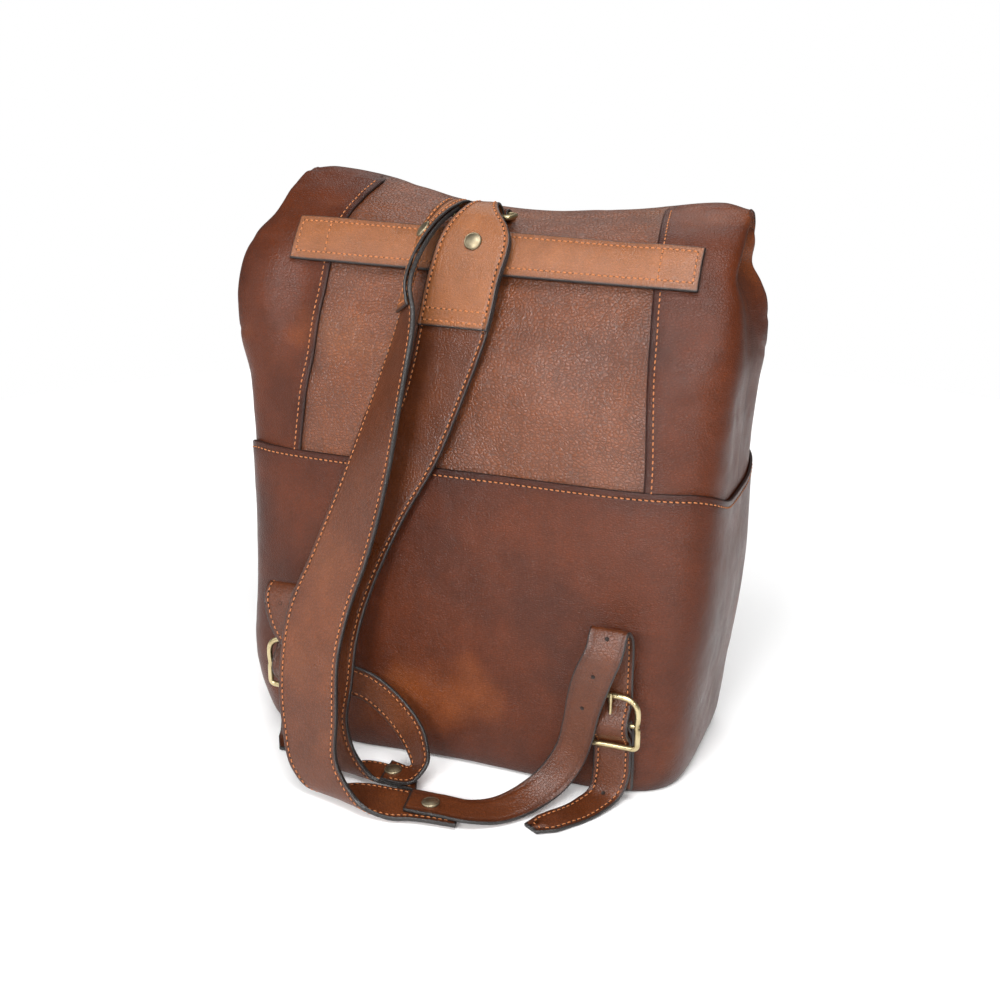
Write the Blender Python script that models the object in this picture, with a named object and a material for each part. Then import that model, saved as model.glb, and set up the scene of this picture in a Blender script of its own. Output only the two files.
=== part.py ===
"""Leather backpack with a folded mouth and two crossed shoulder straps, standing on its base.

Metres. +Z is up, the wearer's back is on +Y and the closure is on -Y.
"""
import math

import bmesh
import bpy
import numpy as np
from mathutils import Matrix

# Leather thicknesses and running gaps
GAP = 0.0004
LINING = 0.0012
PANEL = 0.0020
LOWER_PANEL = 0.0022
STRIP = 0.0030
WIDE_STRAP = 0.0032
NARROW_STRAP = 0.0026
PATCH = 0.0020
BASE = 0.0030

# Straps
NARROW_HALF = 0.0130
NECK_HALF = 0.0085
HOLE_RADIUS = 0.0020

# Bag body: the rings of the shell, from the base to the throat where the mouth folds over.
# Each row: back (y, z), front (y, z), half width, shift to the left, back seam's x,
# how far the middle sinks, side tuck, how far the left end stands above the middle.
STATIONS = (
    ((0.079, 0.000), (-0.066, 0.000), 0.148, 0.001, 0.100, 0.000, 0.000, 0.000),
    ((0.084, 0.014), (-0.071, 0.014), 0.155, 0.001, 0.108, 0.000, 0.000, 0.000),
    ((0.085, 0.060), (-0.076, 0.060), 0.160, 0.002, 0.116, 0.000, 0.000, 0.000),
    ((0.080, 0.130), (-0.078, 0.130), 0.165, 0.003, 0.122, 0.000, 0.000, 0.000),
    ((0.066, 0.212), (-0.077, 0.212), 0.171, 0.004, 0.126, 0.000, 0.000, 0.000),
    ((0.046, 0.285), (-0.073, 0.280), 0.181, 0.006, 0.121, 0.004, 0.006, 0.000),
    ((0.025, 0.338), (-0.069, 0.325), 0.182, 0.007, 0.117, 0.010, 0.014, 0.001),
    ((0.009, 0.362), (-0.065, 0.346), 0.178, 0.006, 0.114, 0.012, 0.016, 0.003),
    ((-0.014, 0.376), (-0.061, 0.361), 0.174, 0.004, 0.110, 0.014, 0.014, 0.005),
    ((-0.038, 0.385), (-0.056, 0.370), 0.170, 0.003, 0.106, 0.016, 0.009, 0.007),
)
CORNER_POWER = 6.0
FRONT_SEAM = 0.62
BACK_CELLS = 10
SIDE_CELLS = 10
FRONT_CELLS = 8
SEAM_GAP = 0.0003
LOWER_EDGE = 4.0
UPPER_START = 3.72
THROAT = 9.0

# Luggage strip, from ring 6 to ring 7 of the shell
STRIP_HALF_LENGTH = 0.145
STRIP_ROWS = 4
STRIP_COLUMNS = 21

# Folded mouth and its hinge along the top edge, (y, z)
RIDGE_AXIS = (-0.0495, 0.3870)
MOUTH_HALF = 0.1700
MOUTH_THICKNESS = 0.0060
MOUTH_COLUMNS = 17
MOUTH_LINE = (
    (-0.0500, 0.3865),
    (-0.0600, 0.3830),
    (-0.0700, 0.3720),
    (-0.0770, 0.3540),
    (-0.0810, 0.3250),
    (-0.0825, 0.2950),
    (-0.0830, 0.2620),
)
MOUTH_SINK = (1.0, 0.8, 0.5, 0.2, 0.0, 0.0, 0.0)

# Brass ring over the sunken middle of the top edge, (y, z) of its two long bars
RING_CENTRE_X = 0.0220
RING_HALF_LENGTH = 0.0265
RING_WIRE = 0.0018
RING_LOWER_BAR = (-0.0080, 0.3738)
RING_UPPER_BAR = (-0.0215, 0.3786)
RING_CORNER = 0.0035
RING_CORNER_SHARE = 0.3
RING_TAB_HALF = 0.0150
TAB = 0.0018
TAB_UPPER_LEG = ((-0.0395, 0.3797), (-0.0330, 0.3803))
TAB_LOWER_LEG = ((-0.0330, 0.3779), (-0.0395, 0.3773))
TAB_WRAP = (65, 280)
NECK_WRAP = (-120, 60)

# Buckles, in their own frame: across, along the strap and out of its face
BUCKLE_HALF_WIDTH = 0.0180
BUCKLE_TOP = 0.0200
BUCKLE_BOTTOM = -0.0170
BUCKLE_SHOULDER = BUCKLE_TOP * 0.3
BUCKLE_ARCH_STEPS = 10
BUCKLE_WIRE = 0.0017
BAR_WIRE = 0.0015
PRONG_WIRE = 0.0012
PRONG_OVERHANG = 0.0020
PRONG_LIFT = 0.0002
CHAPE = 0.0018
CHAPE_HALF = 0.0135
BUCKLES = {
    "outer": (-0.1185, 0.1015, 0.0620),
    "inner": (0.1200, 0.1015, 0.0620),
}
CLOSURE_BUCKLE = (0.0, -0.0985, 0.2300)

# A strap threaded through a buckle, (along, out): behind the frame, over the bar, behind
THREADED = (
    (0.0280, -0.0040),
    (0.0220, -0.0041),
    (0.0170, -0.0039),
    (0.0125, -0.0016),
    (0.0090, 0.0018),
    (0.0050, 0.0050),
    (0.0000, 0.0066),
    (-0.0050, 0.0050),
    (-0.0090, 0.0018),
    (-0.0125, -0.0016),
    (-0.0165, -0.0039),
    (-0.0210, -0.0041),
    (-0.0280, -0.0040),
)
PRONG_SLOT = (0.0066, 0.0038)
PRONG_SLOT_HALF = 0.0068

# The two legs of a chape, (along, out), from the buckle's bar to their sewn ends
CHAPE_WRAP = (-50, 161, 30)
CHAPE_FRAMES = 40
CHAPE_NOTCH = (-0.0056, 0.0060)
FRONT_LEG = (
    (-0.0055, -0.0020),
    (-0.0090, -0.0047),
    (-0.0130, -0.0070),
    (-0.0200, -0.0074),
    (-0.0520, -0.0071),
)
BACK_LEG = (
    (-0.0030, -0.0044),
    (-0.0070, -0.0072),
    (-0.0120, -0.0093),
    (-0.0200, -0.0098),
    (-0.0520, -0.0095),
)

# Press stud under the closure tab, on the front of the lower panel
CLOSURE_TAB_LINE = ((-0.0915, 0.1600), (-0.0915, 0.1700), (-0.0915, 0.1780), (-0.0920, 0.1900))
SNAP_HEIGHT = 0.1780
SNAP_Y = -0.0915
SNAP_RADIUS = 0.0062
SNAP_BORE = 0.0032
SNAP_ROOF = 0.0012
SNAP_DEPTH = 0.0026
STUD_PATCH_HALF = 0.0180
LOWER_FRONT_Y = -0.0826

# Shoulder straps: distances along them, and how finely ribbons are cut into frames
NECK_LENGTH = 0.0060
TIP_LENGTH = 0.0120
TIP_TAPER = 0.35
WIDE_FRAMES = 46
NARROW_FRAMES = 90
PATCH_FRAMES = 26
TAB_FRAMES = 20
CLOSURE_FRAMES = 44
CLOSURE_STRAP_FRAMES = 52
BEND_WEIGHT = 0.0200
NECK_SPREAD = 0.0105
PATCH_LENGTH = 0.0800
TOP_RIVET_AT = 0.0290
END_RIVET_AT = 0.0190
HOLE_PAIR = 11
HOLE_SHIFTS = (-0.062, -0.034, -0.006)
HOLE_SIDES = 12
HOLE_DEPTH = 0.0080
NARROW_HOLE_DEPTH = 0.0040
END_HOLE_DEPTH = 0.0070
RIVET_HEAD = 0.0062
RIVET_CAP = 0.0042
RIVET_SHANK = 0.0015
RIVET_RIM = 0.0012
RIVET_DOME = ((0.94, 1.0), (0.60, 1.9), (0.0, 2.3))
TWIST_SLACK = 0.0010
WIRE_SIDES = 8

# Shoulder straps: pairs of points on their two edges, in millimetres. The outer strap lies
# on the inner one, leaves the ring on edge, turns flat, rolls under on the floor and ends
# at the wearer's left-hand buckle.
OUTER_WIDE = (
    ((41, 4, 376), (24, 4, 376)),
    ((44, 25, 363), (31, 35, 368)),
    ((47, 42, 336), (31, 82, 342)),
    ((54, 51, 306), (27, 86, 324)),
    ((66, 70, 257), (29, 104, 269)),
    ((80, 94, 204), (36, 114, 213)),
    ((94, 114, 157), (45, 126, 165)),
    ((105, 131, 119), (55, 138, 127)),
    ((106, 143, 84), (58, 149, 98)),
    ((101, 153, 48), (55, 160, 60)),
    ((90, 162, 18), (50, 170, 30)),
    ((74, 162, 5), (30, 178, 10)),
    ((50, 145, 4), (12, 178, 4)),
    ((22, 142, 4), (-4, 174, 4)),
    ((-6, 142, 4), (-18, 172, 4)),
    ((-26, 143, 4), (-34, 171, 4)),
)
INNER_WIDE = (
    ((20, 4, 376), (3, 4, 376)),
    ((29, 26, 362), (-10, 26, 362)),
    ((36, 39, 338), (-12, 41, 338)),
    ((39, 48, 312), (-12, 50, 312)),
    ((47, 64, 258), (0, 66, 264)),
    ((60, 76, 220), (14, 76, 224)),
    ((85, 90, 170), (38, 90, 175)),
    ((96, 109, 128), (52, 109, 132)),
    ((101, 122, 98), (56, 123, 104)),
    ((103, 129, 66), (58, 130, 72)),
    ((103, 133, 36), (60, 135, 42)),
    ((92, 135, 13), (52, 137, 20)),
    ((76, 128, 4), (40, 137, 6)),
    ((56, 114, 4), (28, 137, 4)),
    ((34, 115, 4), (17, 139, 4)),
    ((16, 119, 4), (8, 140, 4)),
)
OUTER_NARROW = (
    ((8, 143.5, 7.4), (3, 170, 7.4)),
    ((-14, 143, 7.4), (-20, 169, 7.4)),
    ((-34, 143, 7.4), (-42, 168, 7.0)),
    ((-48, 134, 8), (-59, 157, 3.4)),
    ((-61, 122, 14), (-75, 140, 4.5)),
    ((-73, 114, 26), (-89, 118, 10)),
    ((-83, 111, 44), (-100, 109, 26)),
    ((-88, 112, 64), (-108, 110, 48)),
    ((-92, 115, 86), (-114, 114, 72)),
    ((-98, 119, 106), (-122, 118, 96)),
    ((-105, 119, 123), (-130, 118, 119)),
    ((-105.5, 111, 133), (-131.5, 111, 132)),
    ((-105.5, 102, 127), (-131.5, 102, 127)),
)
INNER_NARROW = (
    ((34, 139, 7.4), (37, 113, 7.4)),
    ((23, 140, 7.4), (30, 115, 7.4)),
    ((10, 139, 10.5), (24, 117, 7.6)),
    ((3, 131, 20), (20.5, 117.5, 10)),
    ((8, 119, 32), (27, 111, 17)),
    ((17, 111, 42), (37, 107, 27)),
    ((34, 107, 57), (49, 103, 36)),
    ((53, 105, 68), (66, 102, 46)),
    ((77, 108, 77), (87, 109, 53)),
    ((93, 113, 94), (109, 116, 74)),
    ((103, 115, 111), (127, 117, 99)),
    ((107, 112, 122), (133, 112.5, 121)),
    ((107, 105, 126.5), (133, 105, 126.5)),
    ((107, 99, 118), (133, 99, 118)),
)
OUTER_TAIL = (
    ((-105, 97.5, 22), (-131, 97.5, 22)),
    ((-103, 99, 8), (-127, 102, 8)),
    ((-96, 110, 2.6), (-118, 120, 2.6)),
    ((-84, 130, 2.2), (-103, 143, 2.2)),
    ((-72, 147, 2.2), (-90, 158, 2.2)),
)
INNER_TAIL = (
    ((107, 97.5, 22), (133, 97.5, 22)),
    ((107, 98.5, 14), (133, 98.5, 14)),
    ((107, 101, 6), (133, 101, 6)),
    ((107, 108, 2.6), (132, 108, 2.6)),
    ((107, 116, 2.2), (130, 116, 2.2)),
)

SMOOTH_ANGLE = math.radians(40)

LEATHER = (0.30, 0.12, 0.055)
LIGHT_LEATHER = (0.42, 0.18, 0.085)
LINING_CLOTH = (0.45, 0.36, 0.26)
BRASS = (0.62, 0.55, 0.36)


def clear_scene():
    for item in list(bpy.data.objects):
        bpy.data.objects.remove(item, do_unlink=True)


def finish_object(name, mesh_or_curve, colour, roughness, metallic=0.0):
    """Links a new object that has its own Principled material."""
    item = bpy.data.objects.new(name, mesh_or_curve)
    bpy.context.collection.objects.link(item)
    material = bpy.data.materials.new(name + "_finish")
    material.use_nodes = True
    shader = material.node_tree.nodes["Principled BSDF"]
    shader.inputs["Base Color"].default_value = (*colour, 1.0)
    shader.inputs["Roughness"].default_value = roughness
    shader.inputs["Metallic"].default_value = metallic
    mesh_or_curve.materials.append(material)
    return item


def mesh_object(name, points, faces, colour, roughness, metallic=0.0, smooth=True):
    mesh = bpy.data.meshes.new(name)
    mesh.from_pydata([tuple(p) for p in points], [], faces)
    shape = bmesh.new()
    shape.from_mesh(mesh)
    bmesh.ops.recalc_face_normals(shape, faces=shape.faces)
    bmesh.ops.triangulate(shape, faces=shape.faces)
    shape.to_mesh(mesh)
    shape.free()
    if smooth:
        mesh.shade_smooth()
        mesh.set_sharp_from_angle(angle=SMOOTH_ANGLE)
    return finish_object(name, mesh, colour, roughness, metallic)


def spline(points, steps):
    """A smooth curve through the points: steps pieces between each pair of them."""
    p = np.array(points, float)
    gap = np.linalg.norm(np.diff(p[:, :3], axis=0), axis=1)[:, None]
    slope = np.diff(p, axis=0) / gap
    middle = (slope[:-1] * gap[1:] + slope[1:] * gap[:-1]) / (gap[:-1] + gap[1:])
    tangent = np.vstack([slope[:1], middle, slope[-1:]])
    curve = []
    for i in range(len(p) - 1):
        leaving, arriving = tangent[i] * gap[i], tangent[i + 1] * gap[i]
        for k in range(steps):
            t = k / steps
            curve.append(
                p[i] * (2 * t**3 - 3 * t**2 + 1)
                + leaving * (t**3 - 2 * t**2 + t)
                + p[i + 1] * (3 * t**2 - 2 * t**3)
                + arriving * (t**3 - t**2)
            )
    curve.append(p[-1])
    return np.array(curve)


def unit(v):
    return v / np.linalg.norm(v, axis=-1, keepdims=True)


# ---- Shell of the bag -------------------------------------------------------------------


def station(v):
    """The ring at height number v, read off a smooth curve through STATIONS."""
    rows = np.array([[*back, *front, *rest] for back, front, *rest in STATIONS])
    rows = np.vstack([2 * rows[0] - rows[1], rows, 2 * rows[-1] - rows[-2]])
    i = min(int(v), len(STATIONS) - 2)
    t = v - i
    a, b, c, d = rows[i : i + 4]
    return b + 0.5 * t * (c - a + t * (2 * a - 5 * b + 4 * c - d + t * (3 * (b - c) + d - a)))


def shell_point(angle, v, sink=1.0):
    """A point of the shell: angle 90 degrees is the middle of the back, 0 the left side."""
    back_y, back_z, front_y, front_z, half, shift, _, drop, tuck, rise = station(v)
    c, s = math.cos(angle), math.sin(angle)
    across = math.copysign(abs(c) ** (2 / CORNER_POWER), c)
    depth = math.copysign(abs(s) ** (2 / CORNER_POWER), s)
    middle = math.cos(min(abs(across), 1.0) * math.pi / 2) ** 2
    lean = min(max((v - LOWER_EDGE) / (THROAT - LOWER_EDGE), 0), 1)
    x = shift + across * (half - tuck * (1 - depth**2) ** 2)
    y = (back_y + front_y) / 2 + depth * (back_y - front_y) / 2
    z = (back_z + front_z) / 2 + depth * (back_z - front_z) / 2
    y -= sink * drop * middle * (1 - lean) * max(depth, 0)
    z += rise * across - sink * drop * middle * lean
    return np.array([x, y, z])


def shell(angle, v, out, sink=1.0):
    """A shell point moved outwards along the shell's normal."""
    e = 0.002
    low, high = max(v - e, 0), min(v + e, THROAT)
    round_ = shell_point(angle + e, v, sink) - shell_point(angle - e, v, sink)
    up = shell_point(angle, high, sink) - shell_point(angle, low, sink)
    return shell_point(angle, v, sink) + out * unit(np.cross(round_, up))


def angle_at(x, v):
    """The angle on the back of the shell where it reaches x."""
    half, shift = station(v)[4:6]
    share = min(max((x - shift) / half, -1), 1)
    return math.acos(math.copysign(abs(share) ** (CORNER_POWER / 2), share))


def spans(v, gap=0.0):
    """Angles round the shell at height number v, in four parts that meet at the seams."""
    half, _, seam = station(v)[4:7]
    left, right = angle_at(seam, v), angle_at(-seam, v)
    front = math.acos(FRONT_SEAM ** (CORNER_POWER / 2))
    turn = math.pi
    inset = gap / half
    return {
        "back": np.linspace(left + inset, right - inset, BACK_CELLS + 1),
        "right": np.linspace(right + inset, turn + front - inset, SIDE_CELLS + 1),
        "front": np.linspace(turn + front + inset, 2 * turn - front - inset, FRONT_CELLS + 1),
        "left": np.linspace(-front + inset, left - inset, SIDE_CELLS + 1),
    }


def whole_ring(v):
    return np.concatenate([part[:-1] for part in spans(v).values()])


def thick_grid(name, grid_in, grid_out, closed, colour, roughness):
    """A closed solid between two grids of points, open or closed round their columns."""
    rows, columns = grid_in.shape[:2]
    points = np.concatenate([grid_in.reshape(-1, 3), grid_out.reshape(-1, 3)])
    outer = rows * columns
    faces = []
    around = columns if closed else columns - 1
    for r in range(rows - 1):
        for k in range(around):
            a, b = r * columns + k, r * columns + (k + 1) % columns
            c, d = b + columns, a + columns
            faces.append((a, d, c, b))
            faces.append((outer + a, outer + b, outer + c, outer + d))
    for k in range(around):
        a, b = k, (k + 1) % columns
        faces.append((a, b, outer + b, outer + a))
        a, b = a + (rows - 1) * columns, b + (rows - 1) * columns
        faces.append((b, a, outer + a, outer + b))
    if not closed:
        for r in range(rows - 1):
            a, b = r * columns, (r + 1) * columns
            faces.append((b, a, outer + a, outer + b))
            a, b = a + columns - 1, b + columns - 1
            faces.append((a, b, outer + b, outer + a))
    return mesh_object(name, points, faces, colour, roughness)


def shell_panel(name, angles_at, levels, inner, thickness, colour, closed=False):
    """A leather panel of the shell. angles_at gives its columns' angles at each level."""
    grids = [
        np.array([[shell(angle, v, out) for angle in angles_at(v)] for v in levels])
        for out in (inner, inner + thickness)
    ]
    return thick_grid(name, *grids, closed, colour, 0.45)


def build_shell():
    low = (0.35, 1.0, 2.0, 3.0, UPPER_START, LOWER_EDGE)
    high = (UPPER_START, LOWER_EDGE, 5.0, 6.0, 7.0, 8.0, THROAT)
    inside = (0.4, 1.0, 2.0, 3.0, 4.0, 5.0, 6.0, 7.0)
    shell_panel("lower_panel", whole_ring, low, PANEL + GAP, LOWER_PANEL, LEATHER, True)
    shell_panel("lining", whole_ring, inside, -LINING - GAP, LINING, LINING_CLOTH, True)
    names = {
        "back": "back_panel",
        "left": "left_side_panel",
        "front": "front_panel",
        "right": "right_side_panel",
    }
    for part, name in names.items():
        shell_panel(name, lambda v: spans(v, SEAM_GAP)[part], high, 0.0, PANEL, LEATHER)
    build_base()
    build_strip()


def build_base():
    outline = np.array([shell_point(angle, 0.0) for angle in whole_ring(0.0)])
    low, high = outline.copy(), outline.copy()
    low[:, 2], high[:, 2] = 0.0, BASE
    count = len(outline)
    faces = [tuple(reversed(range(count))), tuple(range(count, 2 * count))]
    for k in range(count):
        following = (k + 1) % count
        faces.append((k, following, count + following, count + k))
    mesh_object("base_panel", np.concatenate([low, high]), faces, LEATHER, 0.6, smooth=False)


def build_strip():
    """The strip bridges the sunken middle of the back and lies on it only near its ends."""
    levels = np.linspace(6.0, 7.0, STRIP_ROWS)
    columns = np.linspace(-STRIP_HALF_LENGTH, STRIP_HALF_LENGTH, STRIP_COLUMNS)
    grids = [
        np.array([[shell(angle_at(x, v), v, out, sink=0.0) for x in columns] for v in levels])
        for out in (PANEL + GAP, PANEL + GAP + STRIP)
    ]
    thick_grid("luggage_strip", *grids, False, LIGHT_LEATHER, 0.4)


# ---- Ribbons: straps, patches and tabs ---------------------------------------------------


class Ribbon:
    """Frames along a flat strap: centre, half the way across, outward vector and distance."""

    def __init__(self, centre, side):
        self.centre, self.side = centre, side
        self.out = unit(np.cross(np.gradient(centre, axis=0), side))
        lengths = np.linalg.norm(np.diff(centre, axis=0), axis=1)
        self.run = np.concatenate([[0], np.cumsum(lengths)])

    def read(self, field, at):
        values = getattr(self, field)
        return np.column_stack([np.interp(at, self.run, values[:, k]) for k in range(3)])

    def cut(self, start, stop, height=0.0):
        """The stretch between two distances along the strap, moved outwards by a height."""
        inside = (self.run > start + 0.001) & (self.run < stop - 0.001)
        at = np.concatenate([[start], self.run[inside], [stop]])
        centre = self.read("centre", at) + unit(self.read("out", at)) * height
        return Ribbon(centre, self.read("side", at))

    def frame(self, at):
        """Centre, across and outward unit vectors at a distance along the strap."""
        centre, side, out = (self.read(field, [at])[0] for field in ("centre", "side", "out"))
        out = unit(out)
        return centre, unit(side - out * side.dot(out)), out

    def nearest(self, point):
        """The distance along the strap of the frame nearest to a point."""
        return self.run[np.argmin(np.linalg.norm(self.centre - point, axis=1))]

    def scaled(self, factor):
        return Ribbon(self.centre, self.side * factor[:, None])


def ribbon_through(pairs, count, steps=6):
    """A ribbon from pairs of points on its edges, with more frames where it bends."""
    pairs = np.array([[*left, *right] for left, right in pairs], float)
    left, right = pairs[:, :3], pairs[:, 3:]
    path = spline(np.hstack([(left + right) / 2, (right - left) / 2]), steps)
    step = np.diff(path[:, :3], axis=0)
    turn = np.linalg.norm(np.diff(unit(step), axis=0), axis=1)
    cost = np.linalg.norm(step, axis=1)
    cost[1:] += turn * BEND_WEIGHT
    run = np.concatenate([[0], np.cumsum(cost)])
    at = np.linspace(0, run[-1], count)
    path = np.column_stack([np.interp(at, run, path[:, k]) for k in range(6)])
    return Ribbon(path[:, :3], path[:, 3:])


def loft(name, rings, colour, roughness, metallic=0.0, closed=False):
    """A solid through rings of corners, with flat ends unless it closes on itself."""
    count, corners = rings.shape[:2]
    faces = []
    for r in range(count if closed else count - 1):
        for k in range(corners):
            a, b = r * corners + k, r * corners + (k + 1) % corners
            c = ((r + 1) % count) * corners + (k + 1) % corners
            d = ((r + 1) % count) * corners + k
            faces.append((a, b, c, d))
    if not closed:
        faces.append(tuple(reversed(range(corners))))
        last = (count - 1) * corners
        faces.append(tuple(last + k for k in range(corners)))
    return mesh_object(name, rings.reshape(-1, 3), faces, colour, roughness, metallic)


def strap(name, ribbon, thickness, colour=LEATHER):
    """A flat strap of leather along a ribbon."""
    side, up = ribbon.side, ribbon.out * thickness / 2
    corners = [-side - up, side - up, side + up, -side + up]
    rings = np.stack([ribbon.centre + corner for corner in corners], axis=1)
    return loft(name, rings, colour, 0.4)


def cut_slot(item, place, half_long, half_wide, depth=HOLE_DEPTH):
    """Cuts a slot through a strap, along it. A round hole has both halves equal."""
    centre, across, out = place
    along = np.cross(across, out)
    rings = []
    for level in (-depth, depth):
        ring = []
        for k in range(HOLE_SIDES):
            turn = 2 * math.pi * (k + 0.5) / HOLE_SIDES
            shift = math.copysign(half_long - half_wide, math.sin(turn))
            sideways = across * half_wide * math.cos(turn)
            lengthways = along * (half_wide * math.sin(turn) + shift)
            ring.append(centre + sideways + lengthways + out * level)
        rings.append(ring)
    cut(item, loft(item.name + "_cutter", np.array(rings), LEATHER, 0.5), "DIFFERENCE")


def cut(item, tool, operation):
    """Cuts or joins an item with a tool that the model itself leaves out."""
    tool.hide_render = True
    tool.display_type = "WIRE"
    change = item.modifiers.new(operation.lower(), "BOOLEAN")
    change.operation = operation
    change.solver = "EXACT"
    change.object = tool


def turned(name, place, profile, steps=14):
    """A round brass piece turned from (radius, height) pairs that start and end on its axis."""
    centre, across, out = place
    other = np.cross(out, across)
    points = [centre + out * profile[0][1]]
    for radius, height in profile[1:-1]:
        for k in range(steps):
            turn = 2 * math.pi * k / steps
            side = across * math.cos(turn) + other * math.sin(turn)
            points.append(centre + out * height + side * radius)
    points.append(centre + out * profile[-1][1])
    faces = []
    last = len(points) - 1
    rings = len(profile) - 2
    top = 1 + (rings - 1) * steps
    for k in range(steps):
        following = (k + 1) % steps
        faces.append((0, 1 + following, 1 + k))
        faces.append((last, top + k, top + following))
        for r in range(rings - 1):
            a, b = 1 + r * steps + k, 1 + r * steps + following
            faces.append((a, b, b + steps, a + steps))
    return mesh_object(name, points, faces, BRASS, 0.35, 1.0)


def rivet(name, place, low, high, slack=GAP):
    """A set rivet with a back cap, a shank and a domed head, clear of the leather by a slack."""
    under, over = low - slack, high + slack
    profile = (
        (0.0, under - RIVET_RIM),
        (RIVET_CAP, under - RIVET_RIM),
        (RIVET_CAP, under),
        (RIVET_SHANK, under),
        (RIVET_SHANK, over),
        (RIVET_HEAD, over),
    )
    dome = tuple((RIVET_HEAD * share, over + RIVET_RIM * rise) for share, rise in RIVET_DOME)
    return turned(name, place, profile + dome)


def wire(name, path, radius, closed=False):
    """A round wire bent along a flat path, with flat ends unless it closes on itself."""
    path = np.array(path, float)
    if closed:
        ahead, behind = np.roll(path, -1, axis=0), np.roll(path, 1, axis=0)
        along = unit(unit(ahead - path) + unit(path - behind))
    else:
        along = unit(np.gradient(path, axis=0))
    plane = unit(np.linalg.svd(path - path.mean(0))[2][2])
    turns = [2 * math.pi * (k + 0.5) / WIRE_SIDES for k in range(WIRE_SIDES)]
    rings = []
    for centre, direction in zip(path, along):
        side = unit(np.cross(plane, direction))
        up = np.cross(direction, side)
        rings.append([centre + radius * (side * math.cos(t) + up * math.sin(t)) for t in turns])
    return loft(name, np.array(rings), BRASS, 0.3, 1.0, closed)


# ---- Buckles -----------------------------------------------------------------------------


def buckle_place(origin, up, out):
    """A function that turns (across, up, out) in a buckle's frame into a place in the bag's."""
    up, out = np.array(up, float), np.array(out, float)
    across = np.cross(up, out)
    return lambda x, u, w: np.array(origin) + across * x + up * u + out * w


def build_buckle(name, place):
    """A horseshoe frame with a centre bar, and the prong that turns on the bar."""
    half, rise = BUCKLE_HALF_WIDTH, BUCKLE_TOP - BUCKLE_SHOULDER
    outline = [(-half, BUCKLE_BOTTOM), (0.0, BUCKLE_BOTTOM), (half, BUCKLE_BOTTOM), (half, 0.0)]
    for k in range(BUCKLE_ARCH_STEPS + 1):
        turn = math.pi * k / BUCKLE_ARCH_STEPS
        c, s = math.cos(turn), math.sin(turn)
        x = math.copysign(half * abs(c) ** (2 / 3), c)
        outline.append((x, BUCKLE_SHOULDER + rise * abs(s) ** (2 / 3)))
    outline.append((-half, 0.0))
    frame = wire(name + "_frame", [place(x, u, 0) for x, u in outline], BUCKLE_WIRE, True)
    middle = place(0, 0, 0)
    turns = np.linspace(0, 2 * math.pi, WIRE_SIDES, endpoint=False)
    rim = [place(0, BAR_WIRE * math.cos(t), BAR_WIRE * math.sin(t)) - middle for t in turns]
    rings = [[place(x, 0, 0) + shift for shift in rim] for x in (-half, 0, half)]
    bar = loft(name + "_bar", np.array(rings), BRASS, 0.3, 1.0)
    cut(frame, bar, "UNION")
    hook = BAR_WIRE + GAP + PRONG_WIRE
    path = [place(0, BUCKLE_TOP + PRONG_OVERHANG, BUCKLE_WIRE + GAP + PRONG_WIRE)]
    path.append(place(0, BUCKLE_TOP / 2, hook + PRONG_LIFT))
    for degrees in range(0, -241, -30):
        turn = math.radians(degrees)
        path.append(place(0, hook * math.sin(turn), hook * math.cos(turn)))
    prong = wire(name + "_prong", path, PRONG_WIRE)
    return frame, prong


def chape_pairs(place, front_leg, back_leg):
    """Edge pairs of a strap folded round the buckle's bar, from its front leg to its back."""
    line = list(reversed(front_leg))
    radius = BAR_WIRE + GAP + CHAPE / 2
    for degrees in range(*CHAPE_WRAP):
        turn = math.radians(degrees)
        line.append((radius * math.sin(turn), radius * math.cos(turn)))
    line += back_leg
    return [(place(CHAPE_HALF, u, w), place(-CHAPE_HALF, u, w)) for u, w in line]


def build_chape(name, place, pairs, count=CHAPE_FRAMES):
    """A chape with a slot that leaves room for the prong's eye."""
    chape = strap(name, ribbon_through(pairs, count), CHAPE)
    low, high = CHAPE_NOTCH
    half = PRONG_WIRE + 2 * GAP
    rings = [
        [place(x, low, low), place(x, high, low), place(x, high, high), place(x, low, high)]
        for x in (-half, half)
    ]
    cut(chape, loft(name + "_cutter", np.array(rings), LEATHER, 0.5), "DIFFERENCE")
    return chape


def threaded_pairs(place, side):
    """Edge pairs of a strap that runs behind the frame, over the bar and behind again."""
    half = side * NARROW_HALF
    return [(place(-half, u, w), place(half, u, w)) for u, w in THREADED]


def cut_prong_slot(item, ribbon, place):
    at = ribbon.nearest(place(0, PRONG_SLOT[0], PRONG_SLOT[1]))
    cut_slot(item, ribbon.frame(at), PRONG_SLOT_HALF, PRONG_WIRE + 2 * GAP, NARROW_HOLE_DEPTH)


# ---- Shoulder straps ---------------------------------------------------------------------


def in_metres(pairs):
    return [tuple(tuple(value / 1000 for value in point) for point in pair) for pair in pairs]


def bar_loop(bar, centre_x, half, wire_radius, thickness, first, last):
    """Edge pairs of a leather end that wraps a bar along X, between two angles in degrees."""
    radius = wire_radius + GAP + thickness / 2
    pairs = []
    for degrees in np.linspace(first, last, 8):
        turn = math.radians(degrees)
        y, z = bar[0] - radius * math.cos(turn), bar[1] + radius * math.sin(turn)
        pairs.append(((centre_x + half, y, z), (centre_x - half, y, z)))
    return pairs


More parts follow.
